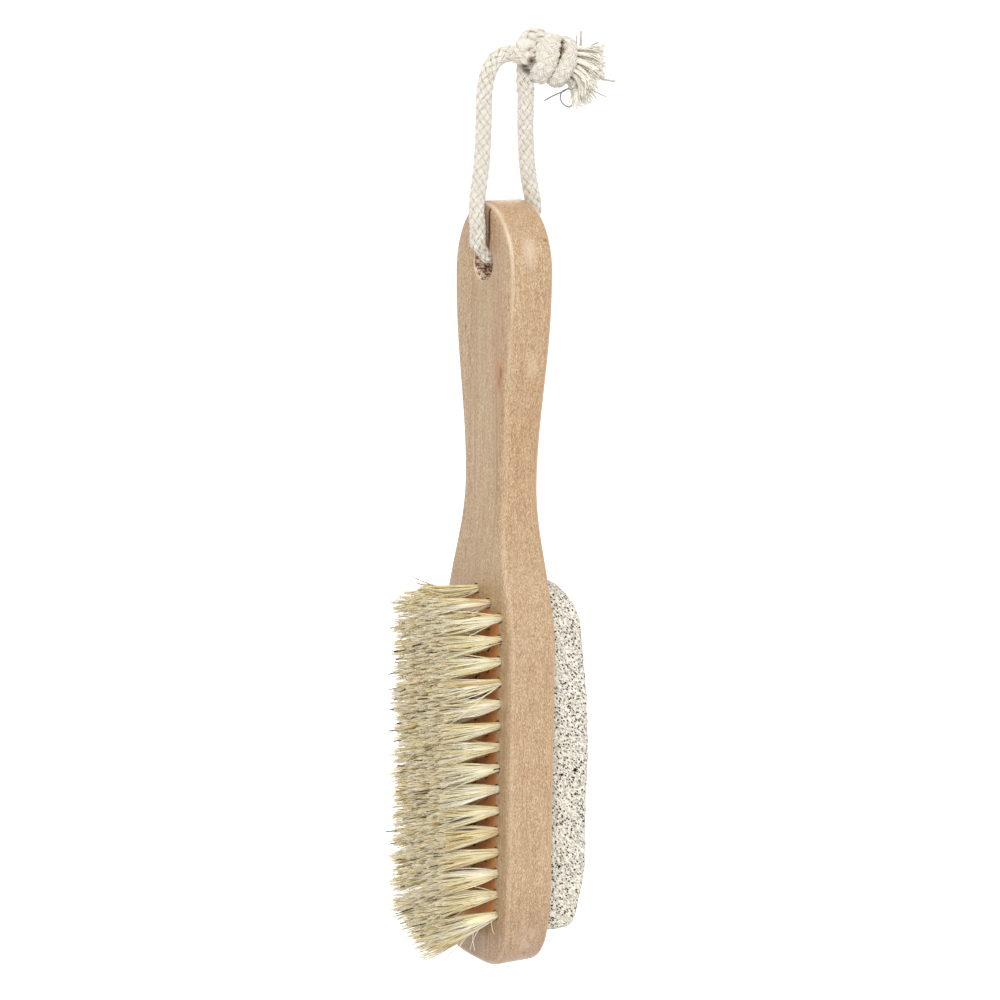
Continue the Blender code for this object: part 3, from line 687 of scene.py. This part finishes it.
def row_hearts(row):
    """The close-packed middle of each tuft, with the same values."""
    steps, turn = np.linspace(0, 1, HEART_STEPS), circle(HEART_SIDES)
    random = np.random.default_rng(2000 + row)
    length = (BRISTLE_LENGTH - 1.1) * HEART_LENGTH
    for column, y, z in tufts(row):
        above, below, lean = rows_around(row, column)
        groove = random.normal(0, 0.07, HEART_SIDES)
        tone = np.clip(random.normal(0.4, 0.28, HEART_SIDES), 0, 0.8)
        rings = []
        for t in steps:
            ripple = (1 + groove * (0.4 + 0.6 * t)) * (1 - 0.98 * ease((t - 0.36) / 0.64)) * HEART_WIDTH
            wide, high = (ripple * (ROOT_REACH + (reach - ROOT_REACH) * t * HEART_LENGTH) for reach in TIP_REACH)
            rings.append(xyz(FACE_X - length * t + 0.4, y + wide * np.cos(turn),
                             z - lean * length * t + high * np.sin(turn)))
        edge = min(min(above, below) * ROW_PITCH / 2, 2 * COLUMN_PITCH + 1.0 - abs(y))
        shade = ease(edge / SHADE_DEPTH) * (1 - steps) ** 0.8
        yield (*closed(rings, inside_out=True), np.tile(tone, HEART_STEPS),
               np.repeat(steps * HEART_LENGTH, HEART_SIDES), np.repeat(shade, HEART_SIDES))


def hair_material():
    s = Shader("natural_bristle")
    tone, along, shade = (s.attribute(name) for name in ("tone", "along", "shade"))
    colour = s.ramp(tone, (0.0, (255, 253, 238)), (0.35, (255, 249, 218)), (0.6, (255, 241, 190)),
                    (0.8, (238, 208, 142)))
    colour = s.mix(s.span(along, 0.0, 0.3, 0.25, 0.0), colour, srgb(244, 220, 168))
    colour = s.stain(
        colour,
        (shade, 0.3, 0.9, 0.42, (232, 184, 128)),
        (s.noise((90, 2600, 2600)), 0.5, 0.75, 0.16, (236, 216, 156)),
        (s.noise((60, 170, 170)), 0.5, 0.7, 0.2, (230, 212, 134)),
        # greyer towards the tips, and pale at the very ends
        (along, 0.6, 0.9, 0.34, (206, 182, 128)),
        (along, 0.9, 1.0, 0.3, (255, 250, 236)))
    stained = s.ramp(tone, (0.92, (128, 92, 46)), (0.98, (34, 22, 12)))
    colour = s.mix(s.span(tone, 0.84, 0.9), colour, stained)
    return s.done(Base_Color=colour, Roughness=0.42, Specular_IOR_Level=0.4, Sheen_Weight=0.6,
                  Sheen_Tint=(1.0, 0.9, 0.66, 1.0))


# ---- pumice
PUMICE_TOP = 110.7
PUMICE_LENGTH = 105.0
PUMICE_HALF_WIDTH = 15.4
PUMICE_TOP_HEIGHT = 11.4
PUMICE_HEIGHT = 13.8
PUMICE_RISE = 22.0
PUMICE_ROUND_TOP = 14.0
PUMICE_CUT_HEIGHT = 10.0
PUMICE_SLOPE = 21.0
PUMICE_CORNER = 4.0
PUMICE_EDGE_ROUND = 2.2
PUMICE_X = HEAD_THICKNESS / 2 + 0.7
PUMICE_GRID = 0.23
# Length and height of the waves in its sawn and rubbed surface
WAVES = ((16.0, 0.3), (5.0, 0.1), (2.2, 0.04))
# Pores: their number, and the least and largest radius
PORES = ((2600, 0.22, 0.3), (140, 0.32, 0.44), (9, 0.5, 0.66))
# Large single pores in the slab's side: height above the wood, distance down from its top, and radius
LARGE_PORES = ((9.2, 56.1, 0.66), (4.8, 57.1, 0.5), (6.5, 52.1, 0.42), (4.4, 84.9, 0.56), (11.3, 50.0, 0.4))


def pumice_section(down):
    """Half width and height of the slab at a distance down from its top."""
    half = np.full_like(down, PUMICE_HALF_WIDTH)
    risen = ease((down - PUMICE_ROUND_TOP) / PUMICE_RISE)
    height = PUMICE_TOP_HEIGHT + (PUMICE_HEIGHT - PUMICE_TOP_HEIGHT) * risen
    top = down < PUMICE_ROUND_TOP
    rise = np.sin(np.arccos(np.clip(1 - down[top] / PUMICE_ROUND_TOP, 0, 1)))
    half[top] -= PUMICE_ROUND_TOP * (1 - rise) * 0.8
    height[top] *= rise ** 0.8
    slope = np.clip((down - PUMICE_LENGTH + PUMICE_SLOPE) / PUMICE_SLOPE, 0, 1)
    height -= (PUMICE_HEIGHT - PUMICE_CUT_HEIGHT) * slope ** 2
    low = down > PUMICE_LENGTH - PUMICE_CORNER
    share = np.clip((down[low] - PUMICE_LENGTH + PUMICE_CORNER) / PUMICE_CORNER, 0, 1)
    half[low] -= PUMICE_CORNER * (1 - np.sqrt(np.maximum(0, 1 - share ** 2)))
    return half, height


def pumice_rings():
    """Points of the smooth slab, ring by ring down from its top."""
    downs = np.concatenate([
        PUMICE_ROUND_TOP * (1 - np.cos(np.linspace(0.10, math.pi / 2, 66))),
        np.arange(PUMICE_ROUND_TOP + PUMICE_GRID, PUMICE_LENGTH - PUMICE_CORNER, PUMICE_GRID),
        PUMICE_LENGTH - PUMICE_CORNER * (1 - np.sin(quarter(23)))])
    count = round((2 * PUMICE_HALF_WIDTH + 2 * PUMICE_HEIGHT) / PUMICE_GRID)
    turn = quarter(8)
    rings = []
    for down, wide, high in zip(downs, *pumice_section(downs)):
        radius = min(PUMICE_EDGE_ROUND, wide * 0.6, high * 0.6)
        y = wide - radius * (1 - np.cos(turn))
        x = high - radius * (1 - np.sin(turn))
        rings.append(evenly(xyz([0.0, *x, *x[::-1], 0.0], [-wide, *-y, *y[::-1], wide], -down), count))
    return np.array(rings)


def pumice_pores(random, flat):
    """How deep the pores are at each point of the slab."""
    surface = flat[np.abs(flat[:, 0]) > 0.4]
    pores = []
    for number, low, high in PORES:
        chosen = random.integers(0, len(surface), number)
        places = surface[chosen] + random.normal(0, 0.15, (number, 3))
        pores += zip(places, random.uniform(low, high, number))
    pores += [((height, -PUMICE_HALF_WIDTH, -down), size) for height, down, size in LARGE_PORES]
    tree = kdtree.KDTree(len(flat))
    for index, point in enumerate(flat):
        tree.insert(point, index)
    tree.balance()
    depth = np.zeros(len(flat))
    for place, size in pores:
        for _, index, distance in tree.find_range(place, size):
            depth[index] = max(depth[index], 1.5 * math.sqrt(max(size * size - distance * distance, 0.0)))
    return depth


def pumice_mesh():
    """Slab on a fine grid, wavy and with its pores sunk into the surface."""
    random = np.random.default_rng(5)
    points = pumice_rings()
    normals = unit(np.cross(np.gradient(points, axis=0), np.gradient(points, axis=1)))
    normals *= np.sign((normals * (points - points.mean(axis=1, keepdims=True))).sum(-1).mean())
    flat = points.reshape(-1, 3)
    wave = np.zeros(len(flat))
    for size, height in WAVES:
        for _ in range(5):
            direction = unit(random.normal(0, 1, 3))
            wave += height * np.sin(flat @ direction * 2 * math.pi / size + random.uniform(0, ANY_TURN)) / 2.2
    depth = pumice_pores(random, flat)
    # The side on the wood, and the edges at it, stay as they are
    moving = np.ones(points.shape[:2])
    moving[:, :2] = moving[:, -2:] = 0.0
    moving[np.abs(points[:, :, 0]) < GAP] = 0.0
    moved = flat + normals.reshape(-1, 3) * ((wave - depth) * moving.reshape(-1))[:, None]
    moved += [PUMICE_X, 0.0, TIP_LEVEL - PUMICE_TOP]
    grid = np.arange(len(flat)).reshape(points.shape[:2])
    faces = ring_faces(grid)
    for ring in (grid[0], grid[-1]):
        moved = np.vstack([moved, moved[ring].mean(axis=0)])
        faces += [[a, b, len(moved) - 1] for a, b in zip(ring.tolist(), np.roll(ring, -1).tolist())]
    mesh = outward(new_mesh("pumice", moved, faces))
    return mesh, np.append(depth, [0.0, 0.0])


def pumice_material():
    s = Shader("pumice")
    # Gas drew the pores out along one slanting direction
    slanted = s.add("Mapping", {"Vector": s.coords, "Rotation": (0.0, math.radians(45.0), 0.0)}).outputs[0]
    veil = s.noise((2700, 2700, 1000), 1.0, slanted)
    cells = s.add("TexVoronoi", {"Vector": s.scaled((1320, 1320, 900), slanted), "Scale": 1.0,
                                 "Randomness": 0.95})
    pit = s.math("MULTIPLY", s.span(cells.outputs["Distance"], 0.315, 0.365, 1.0, 0.0),
                 s.span(s.noise((620, 620, 620), 1.0), 0.38, 0.52, 0.5, 1.0))
    base = s.mix(s.span(s.noise((160, 160, 160), 3.0), 0.35, 0.7), srgb(250, 246, 236), srgb(238, 232, 218))
    base = s.stain(base, (veil, 0.45, 0.54, 0.7, (176, 166, 144)))
    # Painted shade: the sunk pores and the painted pits are dark inside
    hollow = s.math("MAXIMUM", s.span(s.attribute("pore"), 0.24, 0.5), s.math("MULTIPLY", pit, 0.95))
    relief = s.math("SUBTRACT", s.math("MULTIPLY", veil, -0.6), pit)
    return s.done(Base_Color=s.mix(hollow, base, srgb(30, 20, 6)), Roughness=0.92, Specular_IOR_Level=0.25,
                  Normal=s.bump(relief, 0.0004, 0.6))


# ---- rope
# Where the free loop leaves the knot, how far its strands stand apart, and how far down its top bend reaches
LOOP_START = (1.6, ROPE_RADIUS + 0.35)
LOOP_NEAR, LOOP_FAR = 7.5, 6.3
LOOP_TOP_DEPTH = 10.0
LOOP_END = (LOOP_FAR - 0.15, -6.0)
# How far out from the wood's middle the rope hangs beside the handle
ROPE_OUT = HANDLE_THICKNESS / 2 + GAP + ROPE_RADIUS
# How far the rope lies to one side of the hole at each end, and over which stretch it gets there
ASIDE, ASIDE_FROM, ASIDE_RUN = 1.85, -36.0, 11.0
# It is wider and thinner where it is pressed on the wood above the hole, and flatter at the hole's rims
PRESSED_WIDE, PRESSED_THIN, PRESSED_TOP, PRESSED_LOW, PRESSED_RUN = 0.28, 0.15, -38.0, -54.0, 5.0
RIM_FLATTER, RIM_REACH = 0.3, 1.3
BRAID_STRANDS, YARN_SIDES = 12, 6


def loop_route():
    """Centre line of the rope's free loop, as the part's source has it."""
    corner = HANDLE_THICKNESS / 2 - HOLE_RIM_ROUND
    bend = HOLE_RIM_ROUND + GAP + ROPE_RADIUS
    middle = HOLE_RADIUS + HOLE_RIM_ROUND
    clear = HOLE_INSET - EDGE_ROUND
    side = [(0.0, middle - bend), (corner / 2, middle - bend)]
    for angle in quarter(3):
        side.append((corner + bend * math.sin(angle), middle - bend * math.cos(angle)))
    side += [(corner + bend, (middle + clear) / 2), (corner + bend, clear)]
    side = [(x, z - HOLE_DROP) for x, z in side]
    spread, clear = side[-1]

    def hanging(start, t):
        return start + (spread - start) * t ** 3, -LOOP_TOP_DEPTH + (clear + LOOP_TOP_DEPTH) * t

    top = [LOOP_START, (-0.96, ROPE_RADIUS)]
    for x, z in ((0.5, 0.13), (0.78, 0.42), (0.93, 0.75)):
        top.append((-LOOP_NEAR * x, ROPE_RADIUS - LOOP_TOP_DEPTH * z))
    near, far = ([hanging(out, t) for t in (0.0, 0.3, 0.6, 0.85)] + side[:0:-1] for out in (LOOP_NEAR, LOOP_FAR))
    route = top + [(-x, z) for x, z in near] + side[:1] + far[::-1] + [LOOP_END]
    return smooth_route([(x, 0.0, z) for x, z in route], 2)


def sideways(x, z):
    """How far the rope lies to one side of the hole there."""
    return ASIDE * np.clip(x / ROPE_OUT, -1, 1) * ease((ASIDE_FROM - z) / ASIDE_RUN)


def pressed(vertices):
    """The loop's vertices, spread flat against the wood above the hole and flatter at the hole's rims."""
    corner, level = HANDLE_THICKNESS / 2 - HOLE_RIM_ROUND, HOLE_RADIUS + HOLE_RIM_ROUND - HOLE_DROP
    x, y, z = vertices.T
    out, down = np.abs(x) - corner, level - z
    bent = (out > 0) & (down > 0)
    size = np.maximum(np.hypot(out, down), 1e-9)
    flatter = 1 - RIM_FLATTER * (2 * out * down / size ** 2) ** 2
    share = (RIM_REACH + (size - RIM_REACH) * flatter) / size
    spread = ease((PRESSED_TOP - z) / PRESSED_RUN) * ease((z - PRESSED_LOW) / PRESSED_RUN) * (out > 0)
    aside = (y - sideways(np.sign(x) * ROPE_OUT, z)) * PRESSED_WIDE * spread
    inward = (x - np.sign(x) * ROPE_OUT) * PRESSED_THIN * spread
    x = np.where(bent, np.sign(x) * (corner + out * share), x) - inward
    return xyz(x, y + aside, np.where(bent, level - down * share, z))


def braid(route, radius, lead=17.0, phase=0.0, yarns=3, widen=None):
    """Twelve plaited strands of a few yarns each along a route: vertices, faces, tone and depth in the rope.

    widen gives a direction, places along the route, and the factors of width in that direction there."""
    line = resample(np.asarray(route, float), 0.5)
    tangents, normals, others = frames_along(line)
    run = lengths_along(line)
    size = radius / ROPE_RADIUS
    ring, weave, thick, gap = 1.86 * size, 0.33 * size, 0.30 * size, 0.47 * size
    random = np.random.default_rng(round(run[-1] * 10))
    paths, tones = [], []
    for strand in range(BRAID_STRANDS):
        sense = 1 if strand < BRAID_STRANDS / 2 else -1
        angle = sense * 2 * math.pi * run / lead + (strand % 6) * math.pi / 3 + phase
        out = ring + sense * weave * np.cos(BRAID_STRANDS * math.pi * run / lead)
        radial = around(normals, others, angle[:, None])
        middle = line + radial * out[:, None]
        across = unit(np.cross(unit(np.gradient(middle, axis=0)), radial))
        for yarn in range(yarns):
            shift = (yarn - (yarns - 1) / 2) * gap
            lift = -0.10 * size * (shift / gap) ** 2 + random.normal(0, 0.03) * size
            wander = 0.05 * size * np.sin(run * random.uniform(1.2, 2.6) + random.uniform(0, ANY_TURN))
            paths.append(middle + across * (shift + wander[:, None]) + radial * lift)
            tones.append(random.uniform(0, 1))
    vertices, faces = tubes(np.array(paths), thick, YARN_SIDES)
    offset = vertices.reshape(len(paths), len(line), YARN_SIDES, 3) - line[:, None]
    # Painted shade: yarn surfaces lying deeper in the rope get a higher depth, which the material paints darker
    deep = np.clip((radius - np.linalg.norm(offset, axis=-1)) / (0.75 * size), 0.0, 1.0)
    if widen is not None:
        axis, places, factors = widen
        factors = np.interp(run / run[-1], places, factors)[:, None, None]
        axis = unit(np.array(axis, float))
        along = unit(axis - tangents * (tangents @ axis)[:, None])[:, None]
        share = (offset * along).sum(-1, keepdims=True)
        thin = 1 - (factors - 1) * 0.35
        offset = offset * thin + along * share * (factors - thin)
    vertices = (offset + line[:, None]).reshape(-1, 3)
    return vertices, faces, np.repeat(tones, len(line) * YARN_SIDES), deep.reshape(-1)


# Painted shade where the near strand turns into the knot, dark brown spots: centre and size
KNOT_SHADE_SPOTS = (((4.3, -6.1, 1.0), (1.7, 2.4, 2.0)), ((2.9, -4.4, -0.8), (3.6, 3.0, 1.3)),
             ((5.6, -4.6, 0.9), (1.9, 3.0, 1.8)), ((5.4, -2.0, -1.4), (2.2, 2.4, 2.4)))


def rope_material(name, light, dim):
    s = Shader(name)
    tone, deep = s.attribute("tone"), s.attribute("deep")
    fibres = s.noise((3200, 3200, 1300), 3.0)
    colour = s.stain(
        s.mix(tone, srgb(*light), srgb(*dim)),
        (s.noise((120, 120, 120)), 0.4, 0.7, 0.5, (226, 219, 203)),
        (fibres, 0.5, 0.75, 0.5, (204, 192, 168)),
        # painted shade: darker deeper in the rope, between its yarns, and darkest in the knot's clefts
        (deep, 0.3, 0.9, 0.75, (182, 164, 134)),
        (deep, 1.0, 2.0, 1.0, (74, 54, 36)),
        (tone, 1.0, 2.0, 1.0, (128, 128, 128)),
        # painted shade spots where the near strand turns into the knot
        *((s.spot(centre, size), 0.0, 1.0, 1.0, (80, 50, 26)) for centre, size in KNOT_SHADE_SPOTS))
    return s.done(Base_Color=colour, Roughness=0.9, Specular_IOR_Level=0.2, Sheen_Weight=0.2,
                  Normal=s.bump(fibres, 0.00025, 0.7))


# Centre lines inside the knot. The near strand dips in front of the far one, which rises behind it and goes
# over the top. Two passes are wound round both.
NEAR_STRAND = [(0.4, 0.0, 2.85), (1.6, 0.0, 2.85), (2.6, -1.6, 2.3), (3.6, -3.2, 1.5), (5.0, -3.9, 0.9),
               (7.2, -3.7, 0.4), (11.3, -2.5, 1.0), (15.5, -2.6, 1.2), (19.8, -3.0, 0.6)]
FAR_STRAND = [(6.2, 0.0, -7.7), (6.1, 0.0, -6.0), (6.5, 0.8, -3.5), (6.9, 1.4, -0.9), (6.6, 1.6, 1.9),
              (6.2, 1.0, 4.2), (6.6, -0.2, 6.3), (7.6, -1.4, 7.5), (9.0, -2.3, 7.3), (11.2, -2.6, 5.6),
              (13.8, -2.2, 3.2)]
CORE = [(5.2, -1.6, 3.4), (8.5, -1.9, 2.8), (12.5, -2.5, 1.8), (16.5, -2.9, 1.0), (20.0, -3.2, 0.5)]
WINDING = [(14.8, -1.9, -2.4), (14.5, 0.7, -1.5), (14.2, 1.8, 0.7), (14.3, 1.7, 3.5), (13.8, -0.3, 5.6),
           (12.6, -2.5, 6.5), (11.0, -4.8, 5.7), (9.8, -6.2, 3.5), (8.9, -6.6, 1.3), (8.2, -6.3, -1.0),
           (8.0, -4.9, -2.6), (8.8, -3.2, -3.4), (10.8, -1.5, -3.4), (13.6, 0.2, -2.3), (16.4, 1.2, -0.1),
           (18.1, 1.0, 2.5), (18.3, -0.5, 4.4), (17.5, -2.4, 5.3), (16.5, -4.9, 4.7), (15.8, -6.8, 2.5),
           (15.2, -7.4, 0.2), (14.2, -6.9, -2.1), (13.5, -5.4, -3.8), (14.1, -3.6, -4.6), (16.1, -1.8, -4.4),
           (18.4, -1.0, -2.8), (20.2, -1.5, -1.0), (20.7, -3.0, 0.1)]
FILLING = [(3.4, -0.4, 4.2), (5.2, -1.3, 4.9), (7.6, -1.8, 4.8)]
KNOT_AXIS = (0.96, -0.22, -0.10)
# The winding is pressed wide along the knot: places along it, and factors
WINDING_WIDTH = (KNOT_AXIS, (0.0, 0.2, 0.32, 0.42, 0.56, 0.64, 0.74, 1.0),
                 (1.0, 1.42, 1.35, 1.0, 1.2, 1.32, 1.15, 1.0))


def knot_parts():
    """The knot's strands, and a solid middle so that no gap opens where a strand bends sharply."""
    parts = [braid(smooth_route(NEAR_STRAND, 4), 2.55, phase=0.4),
             braid(smooth_route(FAR_STRAND, 4), 2.75, phase=1.0),
             braid(smooth_route(CORE, 4), 3.3, phase=2.0, lead=22.0),
             braid(smooth_route(WINDING, 3), 2.75, phase=0.2, lead=16.0, yarns=4, widen=WINDING_WIDTH)]
    for strand, size in ((NEAR_STRAND, 1.95), (FAR_STRAND, 1.95), (FILLING, 2.3)):
        parts.append((*tubes(resample(smooth_route(strand, 4), 0.5)[None], size, 14), 0.6, 0.3))
    vertices, faces, tone, deep = join(parts)
    # Painted shade: the clefts between the passes are darkened
    axis = unit(np.array(KNOT_AXIS))
    offset = vertices - CORE[1]
    place = offset @ axis
    from_axis = np.linalg.norm(offset - place[:, None] * axis, axis=1)
    cleft_shade = np.prod(np.clip([(5.3 - from_axis) / 0.7, (8.4 - place) / 1.2, place - 1.0], 0, 1), axis=0)
    return vertices, faces, tone, np.maximum(deep, cleft_shade * 2.0)


YARNS = 36
FIBRES_ROUND_YARN = 9
FIBRES_IN_YARN = 12
FIBRE_STEPS, FIBRE_SIDES = 12, 5
TASSEL_ROOT = np.array([18.0, -3.6, 0.3])
TASSEL_RADIUS = 4.7
# The photograph's right, up and towards the camera
PICTURE_AXES = np.array([[0.855, -0.518, 0.015], [0.097, 0.189, 0.977], [-0.509, -0.834, 0.212]])
# Loose single threads at the end of the knot: points and radius, and how grey
STRAYS = [
    ([(21.6, -4.1, 2.7), (22.1, -3.8, 5.2), (22.6, -3.1, 9.0)], 0.24, 0.5),
    ([(21.7, -4.1, 2.7), (22.3, -3.8, 5.0), (22.4, -3.5, 8.2)], 0.18, 0.4),
    ([(20.9, -5.0, 2.3), (20.0, -5.0, 4.8), (19.8, -5.3, 7.9)], 0.12, 0.6),
    ([(22.1, -5.5, 3.3), (23.5, -7.1, 4.9), (24.8, -8.9, 5.9)], 0.15, 0.6),
    ([(24.5, -4.7, 2.7), (26.7, -4.5, 4.0), (29.3, -4.8, 4.7)], 0.22, 0.8),
    ([(24.5, -8.7, -3.7), (25.7, -10.8, -4.4), (28.5, -12.6, -4.9)], 0.22, 0.5),
    ([(22.8, -8.6, -7.3), (24.2, -10.9, -8.4), (25.3, -13.0, -9.2)], 0.14, 0.4),
    ([(18.6, -5.7, -5.8), (16.1, -5.8, -7.6), (12.8, -5.3, -8.9), (9.6, -4.9, -10.4)], 0.15, 1.0),
    ([(18.6, -6.6, -4.8), (17.6, -7.8, -7.2), (15.8, -7.2, -7.1), (14.2, -6.6, -8.0), (13.7, -6.7, -9.7),
      (14.5, -7.0, -11.4), (16.2, -7.7, -12.3), (17.1, -7.4, -11.7)], 0.14, 1.0),
]


def tassel_threads():
    """Frayed ends: soft yarns that leave the knot side by side, droop and open, and a few strays."""
    random = np.random.default_rng(42)
    right, up, back = PICTURE_AXES
    axis = unit(np.array(KNOT_AXIS))
    upper = unit(up - axis * (up @ axis))
    nearer = unit(back - axis * (back @ axis) - upper * (back @ upper))
    steps = np.linspace(0, 1, FIBRE_STEPS)
    t = steps[:, None]
    paths, radii, tones, deeps = [], [], [], []
    for share, side, high in zip(*sunflower(YARNS, 0.7)):
        sink = (1 - high) / 2
        turn = math.radians(-4 + 88 * sink ** 1.15 + random.uniform(-8, 8))
        rise = math.radians(48 * side + random.uniform(-10, 10))
        heading = (right * math.cos(turn) - up * math.sin(turn)) * math.cos(rise) + back * math.sin(rise)
        out = upper * high + nearer * side
        base = TASSEL_ROOT + out * TASSEL_RADIUS - axis * 1.2 * share ** 2
        length = 10.0 + 1.9 * sink + random.uniform(-0.9, 0.9)
        bend = base + axis * length * 0.34 + out * 0.5
        end = base + axis * length * 0.24 + heading * length * 0.8
        middle = base * (1 - t) ** 2 + bend * 2 * t * (1 - t) + end * t * t
        crimp = random.normal(0, 0.16, 3)
        middle += crimp * np.sin(random.uniform(0, ANY_TURN) + 8.0 * t) * t
        _, normals, others = frames_along(middle)
        tone, phase = random.uniform(0, 1), random.uniform(0, ANY_TURN)
        for fibre in range(FIBRES_IN_YARN):
            angle = phase + fibre * 2 * math.pi / FIBRES_ROUND_YARN + 4.5 * t
            far = (0.42 if fibre < FIBRES_ROUND_YARN else 0.15) * (1 + 0.9 * np.clip((t - 0.7) / 0.3, 0, 1))
            loose = random.normal(0, 0.55, 3) * np.clip((t - 0.55) / 0.45, 0, 1) ** 2
            path = middle + around(normals, others, angle) * far + loose
            paths.append(read_at(steps * (1 - random.uniform(0.0, 0.08)), steps, path))
            radii.append(random.uniform(0.14, 0.19))
            tones.append(np.full(FIBRE_STEPS, np.clip(tone + random.normal(0, 0.25), 0, 1)))
            # Painted shade: each fibre is a little darker where it leaves the knot
            deeps.append(np.clip(1 - steps * 3.5, 0, 1) * 0.4)
    for points, radius, grey in STRAYS:
        line = resample(smooth_route(points, 6), 0.05)
        paths.append(line[np.linspace(0, len(line) - 1, FIBRE_STEPS).round().astype(int)])
        radii.append(radius * 1.4)
        tones.append(1 + grey * np.clip(steps / 0.35, 0, 1))
        deeps.append(np.zeros(FIBRE_STEPS))
    tone, deep = (np.repeat(np.concatenate(values), FIBRE_SIDES) for values in (tones, deeps))
    return *tubes(np.array(paths), np.array(radii)[:, None], FIBRE_SIDES), tone, deep


FUZZ = 260
FUZZ_RADIUS = 0.035
FUZZ_ROOT = 2.15


def rope_fuzz(route):
    """Short loose fibres that stand off the rope."""
    random = np.random.default_rng(77)
    line = resample(route, 0.5)
    tangents, normals, others = frames_along(line)
    t = np.linspace(0, 1, 5)[:, None]
    paths = []
    for _ in range(FUZZ):
        at = random.integers(4, len(line) - 4)
        out = around(normals[at], others[at], random.uniform(0, ANY_TURN))
        heading = unit(tangents[at] * random.choice((-1, 1)) + out * random.uniform(0.1, 0.6)
                       + random.normal(0, 0.3, 3))
        length = random.uniform(1.0, 3.2)
        bend = random.normal(0, 0.35, 3)
        paths.append(line[at] + out * FUZZ_ROOT + heading * length * t + bend * t * t)
    return *tubes(np.array(paths), FUZZ_RADIUS, 3), 0.0, 0.0


# ---- assembly
def rope_piece(name, material, slot, replaced, vertices, faces, tone, deep):
    return piece(name, new_mesh(name, vertices, faces), material, "rope", slot, replaced, tone=tone, deep=deep)


add_camera()
rope = rope_material("cotton", (240, 237, 229), (220, 215, 203))
# The tassel's cotton gets paler colours than the rope: painted light against the shade its threads cast on each
# other
fray = rope_material("cotton_fray", (255, 253, 244), (246, 240, 226))
route = loop_route()
route[:, 1] += sideways(route[:, 0], route[:, 2])
vertices, *others = braid(route, ROPE_RADIUS)
loop_piece = rope_piece("rope_braid", rope, "cotton_rope", ["rope_loop"], pressed(vertices), *others)
knot_piece = rope_piece("knot_braid", rope, "cotton_rope", ["rope_knot"], *knot_parts())
tassel_piece = rope_piece("tassel_threads", fray, "cotton_fray", ["rope_tassel"], *tassel_threads())
fuzz_piece = rope_piece("rope_fuzz", rope, "cotton_rope", (), *rope_fuzz(route))

piece("wood", wood_mesh(), wood_material(), "brush", "beech", ["wood_body"])

hair = hair_material()
for row in range(ROWS):
    number = f"{row + 1:02d}"
    vertices, faces, tone, along, shade = row_hairs(row)
    piece("hairs_" + number, new_mesh("hairs", vertices, faces), hair, "brush", "bristle",
          ["bristle_row_" + number], tone=tone, along=along, shade=shade)

mesh, pore = pumice_mesh()
piece("pumice", mesh, pumice_material(), "brush", "pumice", ["pumice_stone"], pore=pore)

glue = Shader("glue")
cloud = glue.noise((300, 300, 300))
colour = glue.mix(glue.span(cloud, 0.3, 0.7), srgb(232, 224, 196), srgb(214, 200, 164))
glue.done(Base_Color=colour, Roughness=0.35, Normal=glue.bump(cloud, 0.0003, 0.4))
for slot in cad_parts["pumice_adhesive"].material_slots:
    slot.material = glue.material

# ---- stage and light
FLOOR_LEVEL = -370.0
FLOOR_SIZE = 14000.0
AIM = Vector((0.0, 0.0, -0.15))
# Place and diameter in metres, and power in watts
LIGHTS = {
    "key": ((-1.2, -1.3, 0.9), 0.9, 18.0),
    "fill": ((1.3, -1.3, 0.4), 1.2, 5.5),
    "top": ((-0.2, 0.3, 1.4), 1.0, 5.0),
    "back": ((1.3, 1.3, 0.5), 1.2, 6.0),
}
# How bright the white surroundings are as a light. Looked at, they are white
WORLD_LIGHT = 0.72


def add_floor():
    corners = [(x * FLOOR_SIZE, y * FLOOR_SIZE, FLOOR_LEVEL) for x, y in ((-1, -1), (1, -1), (1, 1), (-1, 1))]
    mesh = new_mesh("floor", corners, [(0, 1, 2, 3)])
    s = Shader("floor")
    mesh.materials.append(s.done(Base_Color=(0.82, 0.82, 0.82, 1.0), Roughness=0.9, Specular_IOR_Level=0.1,
                                 Emission_Color=(1.0, 1.0, 1.0, 1.0),
                                 Emission_Strength=s.math("MULTIPLY", s.seen_directly(), 0.62)))
    link("floor", mesh)


def add_lights():
    for name, (place, size, power) in LIGHTS.items():
        data = bpy.data.lights.new(name, "AREA")
        data.shape = "DISK"
        data.size = size
        data.energy = power
        item = link(name, data)
        item.location = place
        item.rotation_euler = (AIM - Vector(place)).to_track_quat("-Z", "Y").to_euler()


def add_world():
    world = bpy.data.worlds.new("studio")
    bpy.context.scene.world = world
    nodes = Nodes(world)
    background = nodes.tree.nodes["Background"]
    background.inputs["Color"].default_value = (1.0, 1.0, 1.0, 1.0)
    nodes.put(background.inputs["Strength"], nodes.span(nodes.seen_directly(), 0.0, 1.0, WORLD_LIGHT, 1.0))


add_floor()
add_lights()
add_world()
bpy.context.scene.view_settings.view_transform = "Standard"
